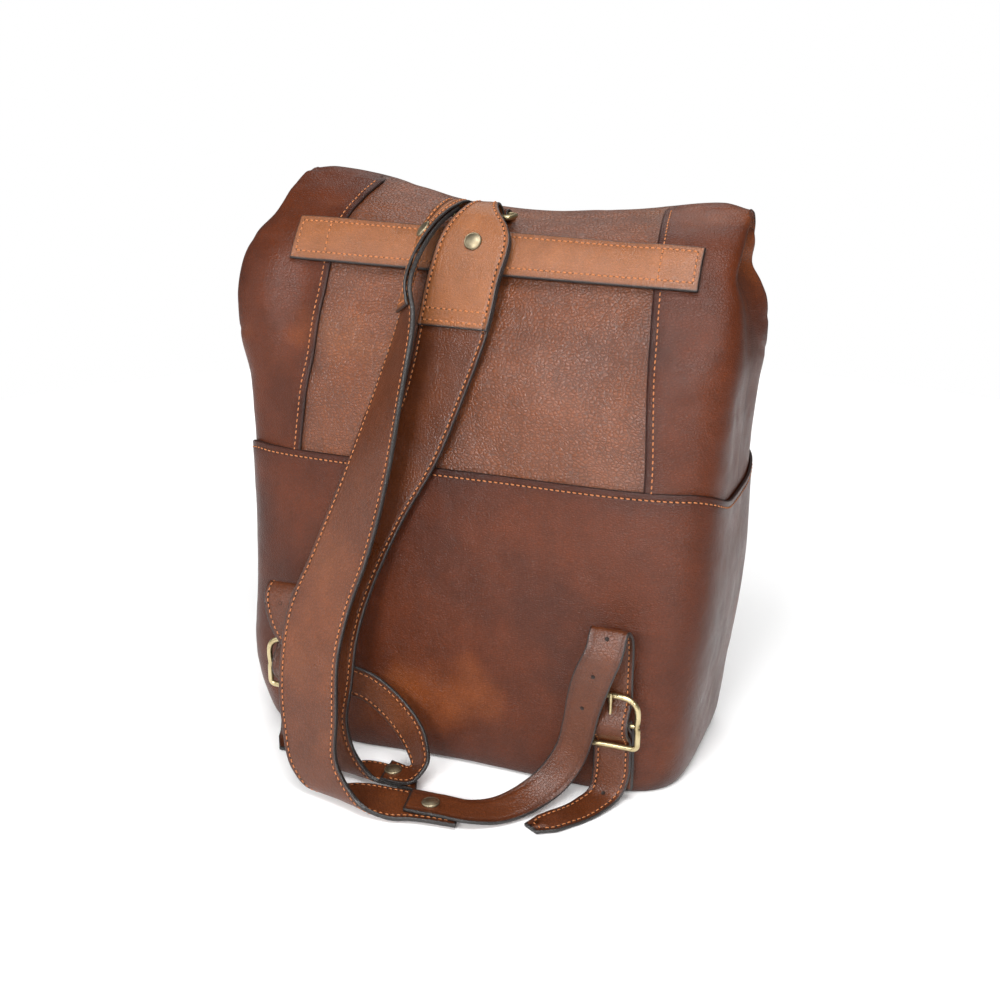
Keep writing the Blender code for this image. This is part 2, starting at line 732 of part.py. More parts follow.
def build_shoulder_strap(key, path, narrow_path, tail, neck_x, side):
    """One strap from the ring to its buckle, with its patch, rivets, buckle and chape."""
    wide = ribbon_through(in_metres(path), WIDE_FRAMES)
    length = wide.run[-1]
    body = strap(key + "_strap_wide", wide.cut(NECK_LENGTH, length), WIDE_STRAP)

    loop = bar_loop(RING_LOWER_BAR, neck_x, NECK_HALF, RING_WIRE, PATCH, *NECK_WRAP)
    over = wide.cut(NECK_LENGTH * 2, PATCH_LENGTH, WIDE_STRAP / 2 + 2 * GAP + PATCH / 2)
    over_pairs = list(zip(over.centre - over.side, over.centre + over.side))
    patch_ribbon = ribbon_through(loop + over_pairs, PATCH_FRAMES)
    patch = strap(key + "_strap_patch", patch_ribbon, PATCH, LIGHT_LEATHER)

    place = buckle_place(BUCKLES[key], (0, 0, 1), (0, 1, 0))
    pairs = in_metres(narrow_path) + threaded_pairs(place, side) + in_metres(tail)
    narrow = ribbon_through(pairs, NARROW_FRAMES)
    to_end = (narrow.run[-1] - narrow.run) / TIP_LENGTH
    narrow = narrow.scaled(1 - TIP_TAPER * np.clip(1 - to_end, 0, 1))
    lower = strap(key + "_strap_narrow", narrow, NARROW_STRAP)
    cut_prong_slot(lower, narrow, place)
    top = np.array(narrow_path[HOLE_PAIR]).mean(0) / 1000
    for shift in HOLE_SHIFTS:
        hole = narrow.frame(narrow.nearest(top) + shift)
        cut_slot(lower, hole, HOLE_RADIUS, HOLE_RADIUS, NARROW_HOLE_DEPTH)

    top_place = wide.frame(TOP_RIVET_AT)
    for item in (body, patch):
        cut_slot(item, top_place, HOLE_RADIUS, HOLE_RADIUS)
    stack_top = WIDE_STRAP / 2 + 2 * GAP + PATCH
    top_rivet = rivet(
        key + "_strap_top_rivet", top_place, -WIDE_STRAP / 2, stack_top, TWIST_SLACK
    )
    centre, across, out = wide.frame(length - END_RIVET_AT)
    end_place = (centre, across, -out)
    for item in (body, lower):
        cut_slot(item, end_place, HOLE_RADIUS, HOLE_RADIUS, END_HOLE_DEPTH)
    end_rivet = rivet(
        key + "_strap_end_rivet", end_place, -WIDE_STRAP / 2, WIDE_STRAP / 2 + GAP + NARROW_STRAP
    )

    _, prong = build_buckle(key + "_buckle", place)
    build_chape(key + "_buckle_chape", place, chape_pairs(place, FRONT_LEG, BACK_LEG))
    hang(key + "_strap_axis", (neck_x, *RING_LOWER_BAR), [body, patch, top_rivet, end_rivet])
    hang(key + "_prong_axis", BUCKLES[key], [prong])


def build_ring():
    """The brass ring on the sunken middle of the top edge, and the tab that holds it."""
    low, high = np.array(RING_LOWER_BAR), np.array(RING_UPPER_BAR)
    corner = RING_CORNER
    inward = unit(high - low) * corner
    near = RING_CORNER_SHARE
    half = RING_HALF_LENGTH
    path = []
    for sign, bar, into in ((1, low, inward), (-1, high, -inward)):
        for x in (-sign * (half - corner), 0.0, sign * (half - corner)):
            path.append((RING_CENTRE_X + x, *bar))
        path.append((RING_CENTRE_X + sign * (half - corner * near), *(bar + into * near)))
        path.append((RING_CENTRE_X + sign * half, *(bar + into)))
    wire("top_ring", path, RING_WIRE, closed=True)
    half = RING_TAB_HALF
    x = RING_CENTRE_X
    upper = [((x + half, y, z), (x - half, y, z)) for y, z in TAB_UPPER_LEG]
    lower = [((x + half, y, z), (x - half, y, z)) for y, z in TAB_LOWER_LEG]
    loop = bar_loop(RING_UPPER_BAR, x, half, RING_WIRE, TAB, *TAB_WRAP)
    strap("ring_tab", ribbon_through(upper + loop + lower, TAB_FRAMES), TAB)


# ---- Folded mouth and its closure --------------------------------------------------------


def mouth_point(row, x, out):
    """A point of the folded mouth, at one row of its line, moved out from its middle."""
    line = np.array(MOUTH_LINE)
    normals = unit(np.gradient(line, axis=0)[:, ::-1] * (-1, 1))
    y, z = line[row] - out * normals[row]
    shift, _, drop, _, rise = station(THROAT)[5:]
    share = x / MOUTH_HALF
    sink = drop * math.cos(share * math.pi / 2) ** 2
    return np.array([x + shift, y, z + (rise * share - sink) * MOUTH_SINK[row]])


def build_mouth():
    columns = np.linspace(MOUTH_HALF, -MOUTH_HALF, MOUTH_COLUMNS)
    grids = [
        np.array([[mouth_point(row, x, out) for x in columns] for row in range(len(MOUTH_LINE))])
        for out in (-MOUTH_THICKNESS / 2, MOUTH_THICKNESS / 2)
    ]
    return thick_grid("folded_mouth", *grids, False, LEATHER, 0.45)


def build_closure(mouth):
    """The closure strap, its buckle and tab, and the press stud that holds the tab down."""
    place = buckle_place(CLOSURE_BUCKLE, (0, 0, -1), (0, -1, 0))
    pairs = chape_pairs(place, FRONT_LEG[:-1], BACK_LEG[:-1])
    lift = MOUTH_THICKNESS / 2 + 4 * GAP + CHAPE / 2
    for row in range(len(MOUTH_LINE) - 1, 0, -1):
        middle = mouth_point(row, 0.0, lift)
        edges = [(x, *middle[1:]) for x in (-CHAPE_HALF, CHAPE_HALF)]
        pairs.append(edges if pairs[0][0][0] < 0 else edges[::-1])
    closure = build_chape("closure_strap", place, pairs, CLOSURE_STRAP_FRAMES)
    frame, prong = build_buckle("closure_buckle", place)

    lower = [(CLOSURE_BUCKLE[2] - z, CLOSURE_BUCKLE[1] - y) for y, z in CLOSURE_TAB_LINE]
    tab_pairs = [(place(-NARROW_HALF, u, w), place(NARROW_HALF, u, w)) for u, w in lower]
    tab_ribbon = ribbon_through(tab_pairs + threaded_pairs(place, 1), CLOSURE_FRAMES)
    tab = strap("closure_tab", tab_ribbon, NARROW_STRAP)
    cut_prong_slot(tab, tab_ribbon, place)

    centre = tab_ribbon.frame(tab_ribbon.nearest(np.array((0.0, SNAP_Y, SNAP_HEIGHT))))[0]
    snap = (centre, np.array((1.0, 0.0, 0.0)), np.array((0.0, -1.0, 0.0)))
    cut_slot(tab, snap, HOLE_RADIUS, HOLE_RADIUS)
    face = NARROW_STRAP / 2 + GAP
    cap = turned(
        "closure_snap_cap",
        snap,
        (
            (0.0, -face - SNAP_ROOF),
            (SNAP_BORE, -face - SNAP_ROOF),
            (SNAP_BORE, -face - SNAP_DEPTH),
            (SNAP_RADIUS, -face - SNAP_DEPTH),
            (SNAP_RADIUS, -face),
            (RIVET_SHANK, -face),
            (RIVET_SHANK, face),
            (SNAP_RADIUS, face),
            (SNAP_RADIUS * 0.9, face + SNAP_ROOF),
            (0.0, face + SNAP_ROOF * 1.6),
        ),
    )
    panel_face = LOWER_FRONT_Y - GAP
    low = centre[1] - (panel_face - PATCH - GAP)
    post = SNAP_BORE - 2 * GAP
    turned(
        "closure_snap_stud",
        snap,
        (
            (0.0, low),
            (SNAP_RADIUS, low),
            (SNAP_RADIUS, low + SNAP_ROOF),
            (post, low + SNAP_ROOF),
            (post, -face - SNAP_ROOF - GAP),
            (0.0, -face - SNAP_ROOF - GAP),
        ),
    )
    corners = [(-STUD_PATCH_HALF, -STUD_PATCH_HALF), (STUD_PATCH_HALF, -STUD_PATCH_HALF)]
    corners += [(STUD_PATCH_HALF, STUD_PATCH_HALF), (-STUD_PATCH_HALF, STUD_PATCH_HALF)]
    rings = [[(x, panel_face - depth, centre[2] + z) for x, z in corners] for depth in (0.0, PATCH)]
    loft("closure_stud_patch", np.array(rings), LEATHER, 0.45)
    hang("mouth_axis", (STATIONS[-1][3], *RIDGE_AXIS), [mouth, closure, tab, cap, frame])
    hang("closure_prong_axis", CLOSURE_BUCKLE, [prong])


def hang(name, point, items):
    """Parents moving pieces to an empty on their joint's axis, without moving them."""
    empty = bpy.data.objects.new(name, None)
    bpy.context.collection.objects.link(empty)
    empty.location = point
    for item in items:
        item.data.transform(Matrix.Translation([-value for value in point]))
        item.parent = empty


def main():
    clear_scene()
    build_shell()
    build_ring()
    build_shoulder_strap(
        "outer", OUTER_WIDE, OUTER_NARROW, OUTER_TAIL, RING_CENTRE_X + NECK_SPREAD, 1
    )
    build_shoulder_strap(
        "inner", INNER_WIDE, INNER_NARROW, INNER_TAIL, RING_CENTRE_X - NECK_SPREAD, -1
    )
    build_closure(build_mouth())


main()
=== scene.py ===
"""Leather backpack: its looks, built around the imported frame, on a pale studio floor."""
import math

import bpy
import numpy as np
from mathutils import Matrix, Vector


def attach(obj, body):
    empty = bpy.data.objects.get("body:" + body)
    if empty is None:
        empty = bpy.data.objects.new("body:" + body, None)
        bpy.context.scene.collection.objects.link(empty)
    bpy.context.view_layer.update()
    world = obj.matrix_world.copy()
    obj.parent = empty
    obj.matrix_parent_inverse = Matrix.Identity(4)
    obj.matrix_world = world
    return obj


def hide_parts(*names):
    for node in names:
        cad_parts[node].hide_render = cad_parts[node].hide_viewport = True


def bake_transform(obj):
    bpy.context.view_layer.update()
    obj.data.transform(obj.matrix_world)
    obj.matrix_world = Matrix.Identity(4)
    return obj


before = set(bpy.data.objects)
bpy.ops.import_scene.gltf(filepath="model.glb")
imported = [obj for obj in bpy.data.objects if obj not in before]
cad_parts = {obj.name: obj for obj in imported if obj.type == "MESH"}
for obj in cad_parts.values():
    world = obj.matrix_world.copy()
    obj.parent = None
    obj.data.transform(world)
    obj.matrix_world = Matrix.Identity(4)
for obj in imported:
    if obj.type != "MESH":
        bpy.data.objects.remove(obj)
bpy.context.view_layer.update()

# ---- Sizes, in metres, as in the CAD ----------------------------------------------------

GAP = 0.0004
LINING = 0.0012
PANEL = 0.0020
LOWER_PANEL = 0.0022
STRIP = 0.0030
WIDE_STRAP = 0.0032
NARROW_STRAP = 0.0026
PATCH = 0.0020
TAB = 0.0018
CHAPE = 0.0018
NARROW_HALF = 0.0130
NECK_HALF = 0.0085

# Rings of the bag's shell: back (y, z), front (y, z), half width, shift to the left,
# back seam's x, how far the middle sinks, side tuck, how far the left end stands up.
STATIONS = (
    ((0.079, 0.000), (-0.066, 0.000), 0.148, 0.001, 0.100, 0.000, 0.000, 0.000),
    ((0.084, 0.014), (-0.071, 0.014), 0.155, 0.001, 0.108, 0.000, 0.000, 0.000),
    ((0.085, 0.060), (-0.076, 0.060), 0.160, 0.002, 0.116, 0.000, 0.000, 0.000),
    ((0.080, 0.130), (-0.078, 0.130), 0.165, 0.003, 0.122, 0.000, 0.000, 0.000),
    ((0.066, 0.212), (-0.077, 0.212), 0.171, 0.004, 0.126, 0.000, 0.000, 0.000),
    ((0.046, 0.285), (-0.073, 0.280), 0.181, 0.006, 0.121, 0.004, 0.006, 0.000),
    ((0.025, 0.338), (-0.069, 0.325), 0.182, 0.007, 0.117, 0.010, 0.014, 0.001),
    ((0.009, 0.362), (-0.065, 0.346), 0.178, 0.006, 0.114, 0.012, 0.016, 0.003),
    ((-0.014, 0.376), (-0.061, 0.361), 0.174, 0.004, 0.110, 0.014, 0.014, 0.005),
    ((-0.038, 0.385), (-0.056, 0.370), 0.170, 0.003, 0.106, 0.016, 0.009, 0.007),
)
CORNER_POWER = 6.0
FRONT_SEAM = 0.62
LOWER_EDGE = 4.0
UPPER_START = 3.72
THROAT = 9.0
STRIP_HALF_LENGTH = 0.145

# The mouth's outer face, (y, z), from the top edge over the fold and down the front
MOUTH_SKIN = (
    (-0.0440, 0.3888),
    (-0.0505, 0.3896),
    (-0.0615, 0.3856),
    (-0.0725, 0.3736),
    (-0.0800, 0.3545),
    (-0.0840, 0.3252),
    (-0.0855, 0.2950),
    (-0.0860, 0.2620),
)
MOUTH_SINK = (1.0, 1.0, 0.8, 0.5, 0.2, 0.0, 0.0, 0.0)
MOUTH_THICKNESS = 0.0056
MOUTH_REACH = 0.1610
THIN_END = 0.0009
MOUTH_BACK_Y = -0.0450
MOUTH_SPREAD = (0.004, 0.010, 0.014, 0.010, -0.005, -0.025, -0.035, -0.040)
MOUTH_DIP = (0.0030, 0.0035, 0.0025, 0.0010, 0.0, 0.0, 0.0, 0.0)
MOUTH_HALF = 0.1700
MOUTH_ROWS = 70

# How much lower than the CAD the middle of the top edge, and the ring's lower bar, have settled
SETTLE = 0.0040
RING_SETTLE = 0.0018

RING_CENTRE_X = 0.0220
RING_HALF_LENGTH = 0.0265
RING_WIRE = 0.0018
RING_LOWER_BAR = (-0.0080, 0.3738 - RING_SETTLE)
RING_UPPER_BAR = (-0.0215, 0.3718)
RING_TAB_HALF = 0.0205
TAB_UPPER_LEG = ((-0.0350, 0.3690), (-0.0295, 0.3714))
TAB_LOWER_LEG = ((-0.0295, 0.3690), (-0.0350, 0.3668))

BUCKLE_HALF_WIDTH = 0.0180
BUCKLE_TOP = 0.0200
BUCKLE_BOTTOM = -0.0170
BUCKLE_WIRE = 0.0020
BAR_WIRE = 0.0015
PRONG_WIRE = 0.0012
CHAPE_HALF = 0.0135
BUCKLES = {
    "outer": (-0.1185, 0.1015, 0.0620),
    "inner": (0.1200, 0.1015, 0.0620),
}
CLOSURE_BUCKLE = (0.0, -0.0985, 0.2300)
CLOSURE_LIFT = 0.0012
SNAP_Y = -0.0915
SNAP_HEIGHT = 0.1780
SNAP_RADIUS = 0.0062
THREADED = (
    (0.0280, -0.0040),
    (0.0220, -0.0041),
    (0.0170, -0.0039),
    (0.0125, -0.0016),
    (0.0090, 0.0018),
    (0.0050, 0.0050),
    (0.0000, 0.0066),
    (-0.0050, 0.0050),
    (-0.0090, 0.0018),
    (-0.0125, -0.0016),
    (-0.0165, -0.0039),
    (-0.0210, -0.0041),
    (-0.0280, -0.0040),
)
FRONT_LEG = (
    (-0.0055, -0.0020),
    (-0.0090, -0.0047),
    (-0.0130, -0.0070),
    (-0.0200, -0.0074),
    (-0.0520, -0.0071),
)
BACK_LEG = (
    (-0.0030, -0.0044),
    (-0.0070, -0.0072),
    (-0.0120, -0.0093),
    (-0.0200, -0.0098),
    (-0.0520, -0.0095),
)
CLOSURE_TAB_LINE = ((-0.0915, 0.1600), (-0.0915, 0.1700), (-0.0915, 0.1780), (-0.0920, 0.1900))

# How much the first pairs of the wide straps rise over the ring, and the patches' slack loop
NECK_RISE = (0.0055, 0.0030)
LOOP_SLACK = 0.0048
NECK_LENGTH = 0.0060
NECK_SPREAD = 0.0105
PATCH_LENGTH = 0.0920
TOP_RIVET_AT = 0.0345
END_RIVET_AT = 0.0190
HOLE_SHIFTS = (-0.062, -0.034, -0.006)
HOLE_RADIUS = 0.0013
RIVET_HEAD = 0.0062
BEND_WEIGHT = 0.0200
END_GAP = 0.0040
PATCH_SEAMS = (0.0034, 0.0115)
TAIL_TAPER = 0.35
TAIL_TAPER_LENGTH = 0.012
NECK_WRAP = (-120, 60)
TAB_WRAP = (65, 280)
CHAPE_WRAP = (-50, 161, 30)
PRONG_WRAP = (0, -241, -20)
RING_CORNER = 0.0045
BUCKLE_CORNER = 0.004
BUCKLE_ARCH_POWER = 2 / 3
BAND_REACH = 0.0068
BAND_INSET = 0.0025

# How many frames each kind of ribbon has
STRAP_FRAMES = 420
PATCH_FRAMES = 150
CHAPE_FRAMES = 160
TAB_FRAMES = 90
CLOSURE_STRAP_FRAMES = 260
CLOSURE_TAB_FRAMES = 200

# Shoulder straps: pairs of points on their two edges, in millimetres
OUTER_WIDE = (
    ((41, 4, 376), (24, 4, 376)),
    ((44, 25, 363), (31, 35, 368)),
    ((47, 42, 336), (31, 82, 342)),
    ((54, 51, 306), (27, 86, 324)),
    ((66, 70, 257), (29, 104, 269)),
    ((80, 94, 204), (36, 114, 213)),
    ((94, 114, 157), (45, 126, 165)),
    ((105, 131, 119), (55, 138, 127)),
    ((106, 143, 84), (58, 149, 98)),
    ((101, 153, 48), (55, 160, 60)),
    ((90, 162, 18), (50, 170, 30)),
    ((74, 162, 5), (30, 178, 10)),
    ((50, 145, 4), (12, 178, 4)),
    ((22, 142, 4), (-4, 174, 4)),
    ((-6, 142, 4), (-18, 172, 4)),
    ((-26, 143, 4), (-34, 171, 4)),
)
INNER_WIDE = (
    ((20, 4, 376), (3, 4, 376)),
    ((30, 26, 362), (-18, 26, 362)),
    ((36, 39, 338), (-16, 41, 338)),
    ((39, 48, 312), (-13, 50, 312)),
    ((47, 64, 258), (0, 66, 264)),
    ((60, 76, 220), (14, 76, 224)),
    ((85, 90, 170), (38, 90, 175)),
    ((96, 109, 128), (52, 109, 132)),
    ((101, 122, 98), (56, 123, 104)),
    ((103, 129, 66), (58, 130, 72)),
    ((103, 133, 36), (60, 135, 42)),
    ((92, 135, 13), (52, 137, 20)),
    ((76, 128, 4), (40, 137, 6)),
    ((56, 114, 4), (28, 137, 4)),
    ((34, 115, 4), (17, 139, 4)),
    ((16, 119, 4), (8, 140, 4)),
)
OUTER_NARROW = (
    ((8, 143.5, 7.4), (3, 170, 7.4)),
    ((-14, 143, 7.4), (-20, 169, 7.4)),
    ((-34, 143, 7.4), (-42, 168, 7.0)),
    ((-48, 134, 8), (-59, 157, 3.4)),
    ((-61, 122, 14), (-75, 140, 4.5)),
    ((-73, 114, 26), (-89, 118, 10)),
    ((-83, 111, 44), (-100, 109, 26)),
    ((-88, 112, 64), (-108, 110, 48)),
    ((-92, 115, 86), (-114, 114, 72)),
    ((-98, 119, 106), (-122, 118, 96)),
    ((-105, 119, 123), (-130, 118, 119)),
    ((-105.5, 111, 133), (-131.5, 111, 132)),
    ((-105.5, 102, 127), (-131.5, 102, 127)),
)
INNER_NARROW = (
    ((34, 139, 7.4), (37, 113, 7.4)),
    ((23, 140, 7.4), (30, 115, 7.4)),
    ((10, 139, 10.5), (24, 117, 7.6)),
    ((3, 131, 20), (20.5, 117.5, 10)),
    ((8, 119, 32), (27, 111, 17)),
    ((17, 111, 42), (37, 107, 27)),
    ((34, 107, 57), (49, 103, 36)),
    ((53, 105, 68), (66, 102, 46)),
    ((77, 108, 77), (87, 109, 53)),
    ((93, 113, 94), (109, 116, 74)),
    ((103, 115, 111), (127, 117, 99)),
    ((107, 112, 122), (133, 112.5, 121)),
    ((107, 105, 126.5), (133, 105, 126.5)),
    ((107, 99, 118), (133, 99, 118)),
)
OUTER_TAIL = (
    ((-105, 97.5, 22), (-131, 97.5, 22)),
    ((-103, 99, 8), (-127, 102, 8)),
    ((-96, 110, 2.6), (-118, 120, 2.6)),
    ((-84, 130, 2.2), (-103, 143, 2.2)),
    ((-72, 147, 2.2), (-90, 158, 2.2)),
)
INNER_TAIL = (
    ((107, 97.5, 22), (133, 97.5, 22)),
    ((107, 98.5, 14), (133, 98.5, 14)),
    ((107, 101, 6), (133, 101, 6)),
    ((107, 108, 2.6), (132, 108, 2.6)),
    ((107, 116, 2.2), (130, 116, 2.2)),
)
HOLE_PAIR = 11
TAIL_HOLE_AT = 0.0620

# Stitching and edges
STITCH_PITCH = 0.0040
STITCH_LENGTH = 0.0029
STITCH_RADIUS = 0.00040
HEAVY_STITCH_RADIUS = 0.00050
STITCH_INSET = 0.0034
NEEDLE_RADIUS = 0.00074
NEEDLE_HEIGHT = 0.00042
GROOVE = 0.00035
PAINT_WIDTH = 0.0007
GROOVE_WIDTH = 0.0007
RIM_SHARE = 0.4
RIM_REACH = 0.0008

# A stitch's rings, as (place along it, width), their corners, and the stitch's slant
STITCH_PROFILE = ((-0.5, 0.35), (-0.32, 0.9), (0.0, 1.0), (0.32, 0.9), (0.5, 0.35))
STITCH_SIDES = 6
STITCH_SLANT = 0.10
NEEDLE_AT = 0.56
NEEDLE_DEPTH = 0.00022

# The bag's seams: how far the panels overlap, how high the doubled leather stands, how far
# the lower panel's edge dips round the sides (in height numbers), where the stitches run
OVERLAP = 0.0055
SEAM_LIFT = 0.0018
EDGE_DIP = 0.17
SKIN_STITCH_INSET = 0.0042
CENTRE_COLUMNS = 96
SIDE_COLUMNS = 74
LOWER_COLUMNS = 460
STRIP_LEVELS = (6.0, 7.0)
STRIP_ROWS = (0.13, 0.87)
STRIP_BOX = 0.0225

# Bulges and pinches of the flanks: (height, level, reach, side)
FLANK_BULGES = (
    (0.0120, 0.322, 0.036, 1),
    (0.0090, 0.050, 0.045, 1),
    (0.0060, 0.120, 0.060, -1),
    (-0.0036, 0.368, 0.012, 1),
    (-0.0036, 0.343, 0.012, -1),
)

# Round bulges: (height, (x, z), (reach in x, reach in z), only on the back)
ROUND_BULGES = (
    (0.0020, (-0.150, 0.300), (0.030, 0.030), False),
    (0.0042, (-0.025, 0.272), (0.070, 0.045), True),
)

# Noise in the skins: (height, height added to the upper part, size, offset)
SWELLS = (
    (0.0020, 0.0012, 0.110, 3.1),
    (0.0010, 0.0, 0.050, 8.7),
    (0.0, 0.0015, (0.060, 0.200, 0.030), 5.3),
    (0.00018, 0.0, 0.009, 4.4),
)
WRINKLES = (0.0007, (0.060, 0.060, 0.020), 2.2)
ROLLS = (0.0020, (0.055, 0.200, 0.027), 6.6)

# How much flatter than wide the grain's cells are, the tint of shaded leather, edge paint
CELL_FLATTENING = 1.45
SHADE_TINT = (0.30, 0.23, 0.20)
EDGE_PAINT = (0.016, 0.013, 0.012)

# Studio light. The floor glows by FLOOR_GLOW: near and far distance, near and far strength.
AMBIENT = 0.35
GLOSSY_AMBIENT = 0.16
BACKDROP = 1.0
FLOOR_RADIUS = 1.05
FLOOR_GLOW = (0.30, 0.85, 0.07, 0.32)

# Area lights: name, place, height of the point they face, size, power
LIGHTS = (
    ("key", (-0.02, 1.95, 0.98), 0.27, (0.60, 0.32), 25),
    ("right", (-1.05, 1.80, 0.80), 0.27, (0.35, 0.35), 12),
    ("fill", (0.85, 1.9, 1.25), 0.27, (0.5, 0.5), 5),
    ("top", (-0.5, 0.9, 1.9), 0.2, (1.1, 0.8), 30),
    ("side", (1.7, 0.9, 0.9), 0.2, (0.6, 1.2), 8),
    ("front", (0.4, -1.5, 1.9), 0.2, (1.2, 1.0), 10),
)

# The photograph's camera: its turn and lift in degrees, distance, aim and lens in mm
CAMERA_TURN = 21.1
CAMERA_LIFT = 19.876
CAMERA_DISTANCE = 1.12787
CAMERA_AIM = (0.0, 0.0, 0.169387)
CAMERA_LENS = 56.135
CAMERA_SENSOR = 36.0


# ---- Small numeric helpers ---------------------------------------------------------------


def unit(v):
    """Vectors scaled to length 1."""
    return v / np.maximum(np.linalg.norm(v, axis=-1, keepdims=True), 1e-12)


def smooth(t):
    """0 below 0, 1 above 1, and an even rise between."""
    t = np.clip(t, 0, 1)
    return t * t * (3 - 2 * t)


def hermite(points, at):
    """Rows of points joined by a smooth curve, read at positions in row numbers."""
    p = np.asarray(points, float)
    gap = np.linalg.norm(np.diff(p[..., :3], axis=0), axis=-1)[..., None]
    slope = np.diff(p, axis=0) / gap
    middle = (slope[:-1] * gap[1:] + slope[1:] * gap[:-1]) / (gap[:-1] + gap[1:])
    tangent = np.concatenate([slope[:1], middle, slope[-1:]])
    at = np.asarray(at, float)
    i = np.clip(at.astype(int), 0, len(p) - 2)
    t = (at - i).reshape((-1,) + (1,) * (p.ndim - 1))
    leaving, arriving = tangent[i] * gap[i], tangent[i + 1] * gap[i]
    return (
        p[i] * (2 * t**3 - 3 * t**2 + 1)
        + leaving * (t**3 - 2 * t**2 + t)
        + p[i + 1] * (3 * t**2 - 2 * t**3)
        + arriving * (t**3 - t**2)
    )


LATTICE = np.random.default_rng(7).random((32, 32, 32))


def noise(points, size, offset=0.0):
    """Smooth noise from -1 to 1, with features about size across. size may have three parts."""
    q = np.asarray(points) / np.asarray(size) + offset
    cell = np.floor(q).astype(int)
    f = smooth(q - cell)
    total = 0.0
    for dx in (0, 1):
        for dy in (0, 1):
            for dz in (0, 1):
                value = LATTICE[
                    (cell[..., 0] + dx) % 32, (cell[..., 1] + dy) % 32, (cell[..., 2] + dz) % 32
                ]
                weight = (
                    (f[..., 0] if dx else 1 - f[..., 0])
                    * (f[..., 1] if dy else 1 - f[..., 1])
                    * (f[..., 2] if dz else 1 - f[..., 2])
                )
                total = total + value * weight
    return total * 2 - 1


def creases(points, size, offset=0.0):
    """Thin valleys along winding lines: 0 on a crease, up to 1 between creases."""
    return smooth(np.abs(noise(points, size, offset)) * 2.6 + 0.08)


# ---- Materials ---------------------------------------------------------------------------


class Nodes:
    """A material's node tree, with short ways to add nodes and links."""

    def __init__(self, name):
        self.material = bpy.data.materials.new(name)
        self.material.use_nodes = True
        self.tree = self.material.node_tree
        self.shader = self.tree.nodes["Principled BSDF"]
        self.place = self.add("ShaderNodeTexCoord").outputs["Object"]

    def add(self, kind, **values):
        node = self.tree.nodes.new(kind)
        for key, value in values.items():
            setattr(node, key, value)
        return node

    def link(self, source, target):
        self.tree.links.new(source, target)

    def noise(self, scale, detail=3.0, roughness=0.55):
        node = self.add("ShaderNodeTexNoise")
        node.inputs["Scale"].default_value = scale
        node.inputs["Detail"].default_value = detail
        node.inputs["Roughness"].default_value = roughness
        self.link(self.place, node.inputs["Vector"])
        return node.outputs["Fac"]

    def cells(self, scale, warp):
        """How far a point is from the nearest border between the grain's cells."""
        node = self.add("ShaderNodeTexVoronoi", feature="DISTANCE_TO_EDGE")
        node.inputs["Scale"].default_value = scale
        shift = self.add("ShaderNodeTexNoise")
        shift.inputs["Scale"].default_value = scale * 0.8
        self.link(self.place, shift.inputs["Vector"])
        mix = self.add("ShaderNodeMix", data_type="VECTOR")
        mix.inputs["Factor"].default_value = warp
        self.link(self.place, mix.inputs["A"])
        self.link(shift.outputs["Color"], mix.inputs["B"])
        flatten = self.add("ShaderNodeVectorMath", operation="MULTIPLY")
        flatten.inputs[1].default_value = (1.0, 1.0, CELL_FLATTENING)
        self.link(mix.outputs["Result"], flatten.inputs[0])
        self.link(flatten.outputs["Vector"], node.inputs["Vector"])
        return node.outputs["Distance"]

    def ramp(self, source, *stops):
        node = self.add("ShaderNodeValToRGB")
        elements = node.color_ramp.elements
        while len(elements) > 1:
            elements.remove(elements[0])
        for k, (position, colour) in enumerate(stops):
            element = elements[0] if k == 0 else elements.new(position)
            element.position = position
            element.color = (*colour, 1.0)
        self.link(source, node.inputs["Fac"])
        return node.outputs["Color"]

    def mix(self, factor, a, b, blend="MIX"):
        node = self.add("ShaderNodeMix", data_type="RGBA", blend_type=blend)
        for socket, value in ((node.inputs[0], factor), (node.inputs[6], a), (node.inputs[7], b)):
            if isinstance(value, (int, float)):
                socket.default_value = value
            elif isinstance(value, tuple):
                socket.default_value = (*value, 1.0)
            else:
                self.link(value, socket)
        return node.outputs[2]

    def attribute(self, name):
        return self.add("ShaderNodeAttribute", attribute_name=name).outputs["Fac"]

    def bump(self, height, distance, strength=1.0, normal=None):
        node = self.add("ShaderNodeBump")
        node.inputs["Strength"].default_value = strength
        node.inputs["Distance"].default_value = distance
        self.link(height, node.inputs["Height"])
        if normal is not None:
            self.link(normal, node.inputs["Normal"])
        return node.outputs["Normal"]


def grey(value):
    return (value, value, value)


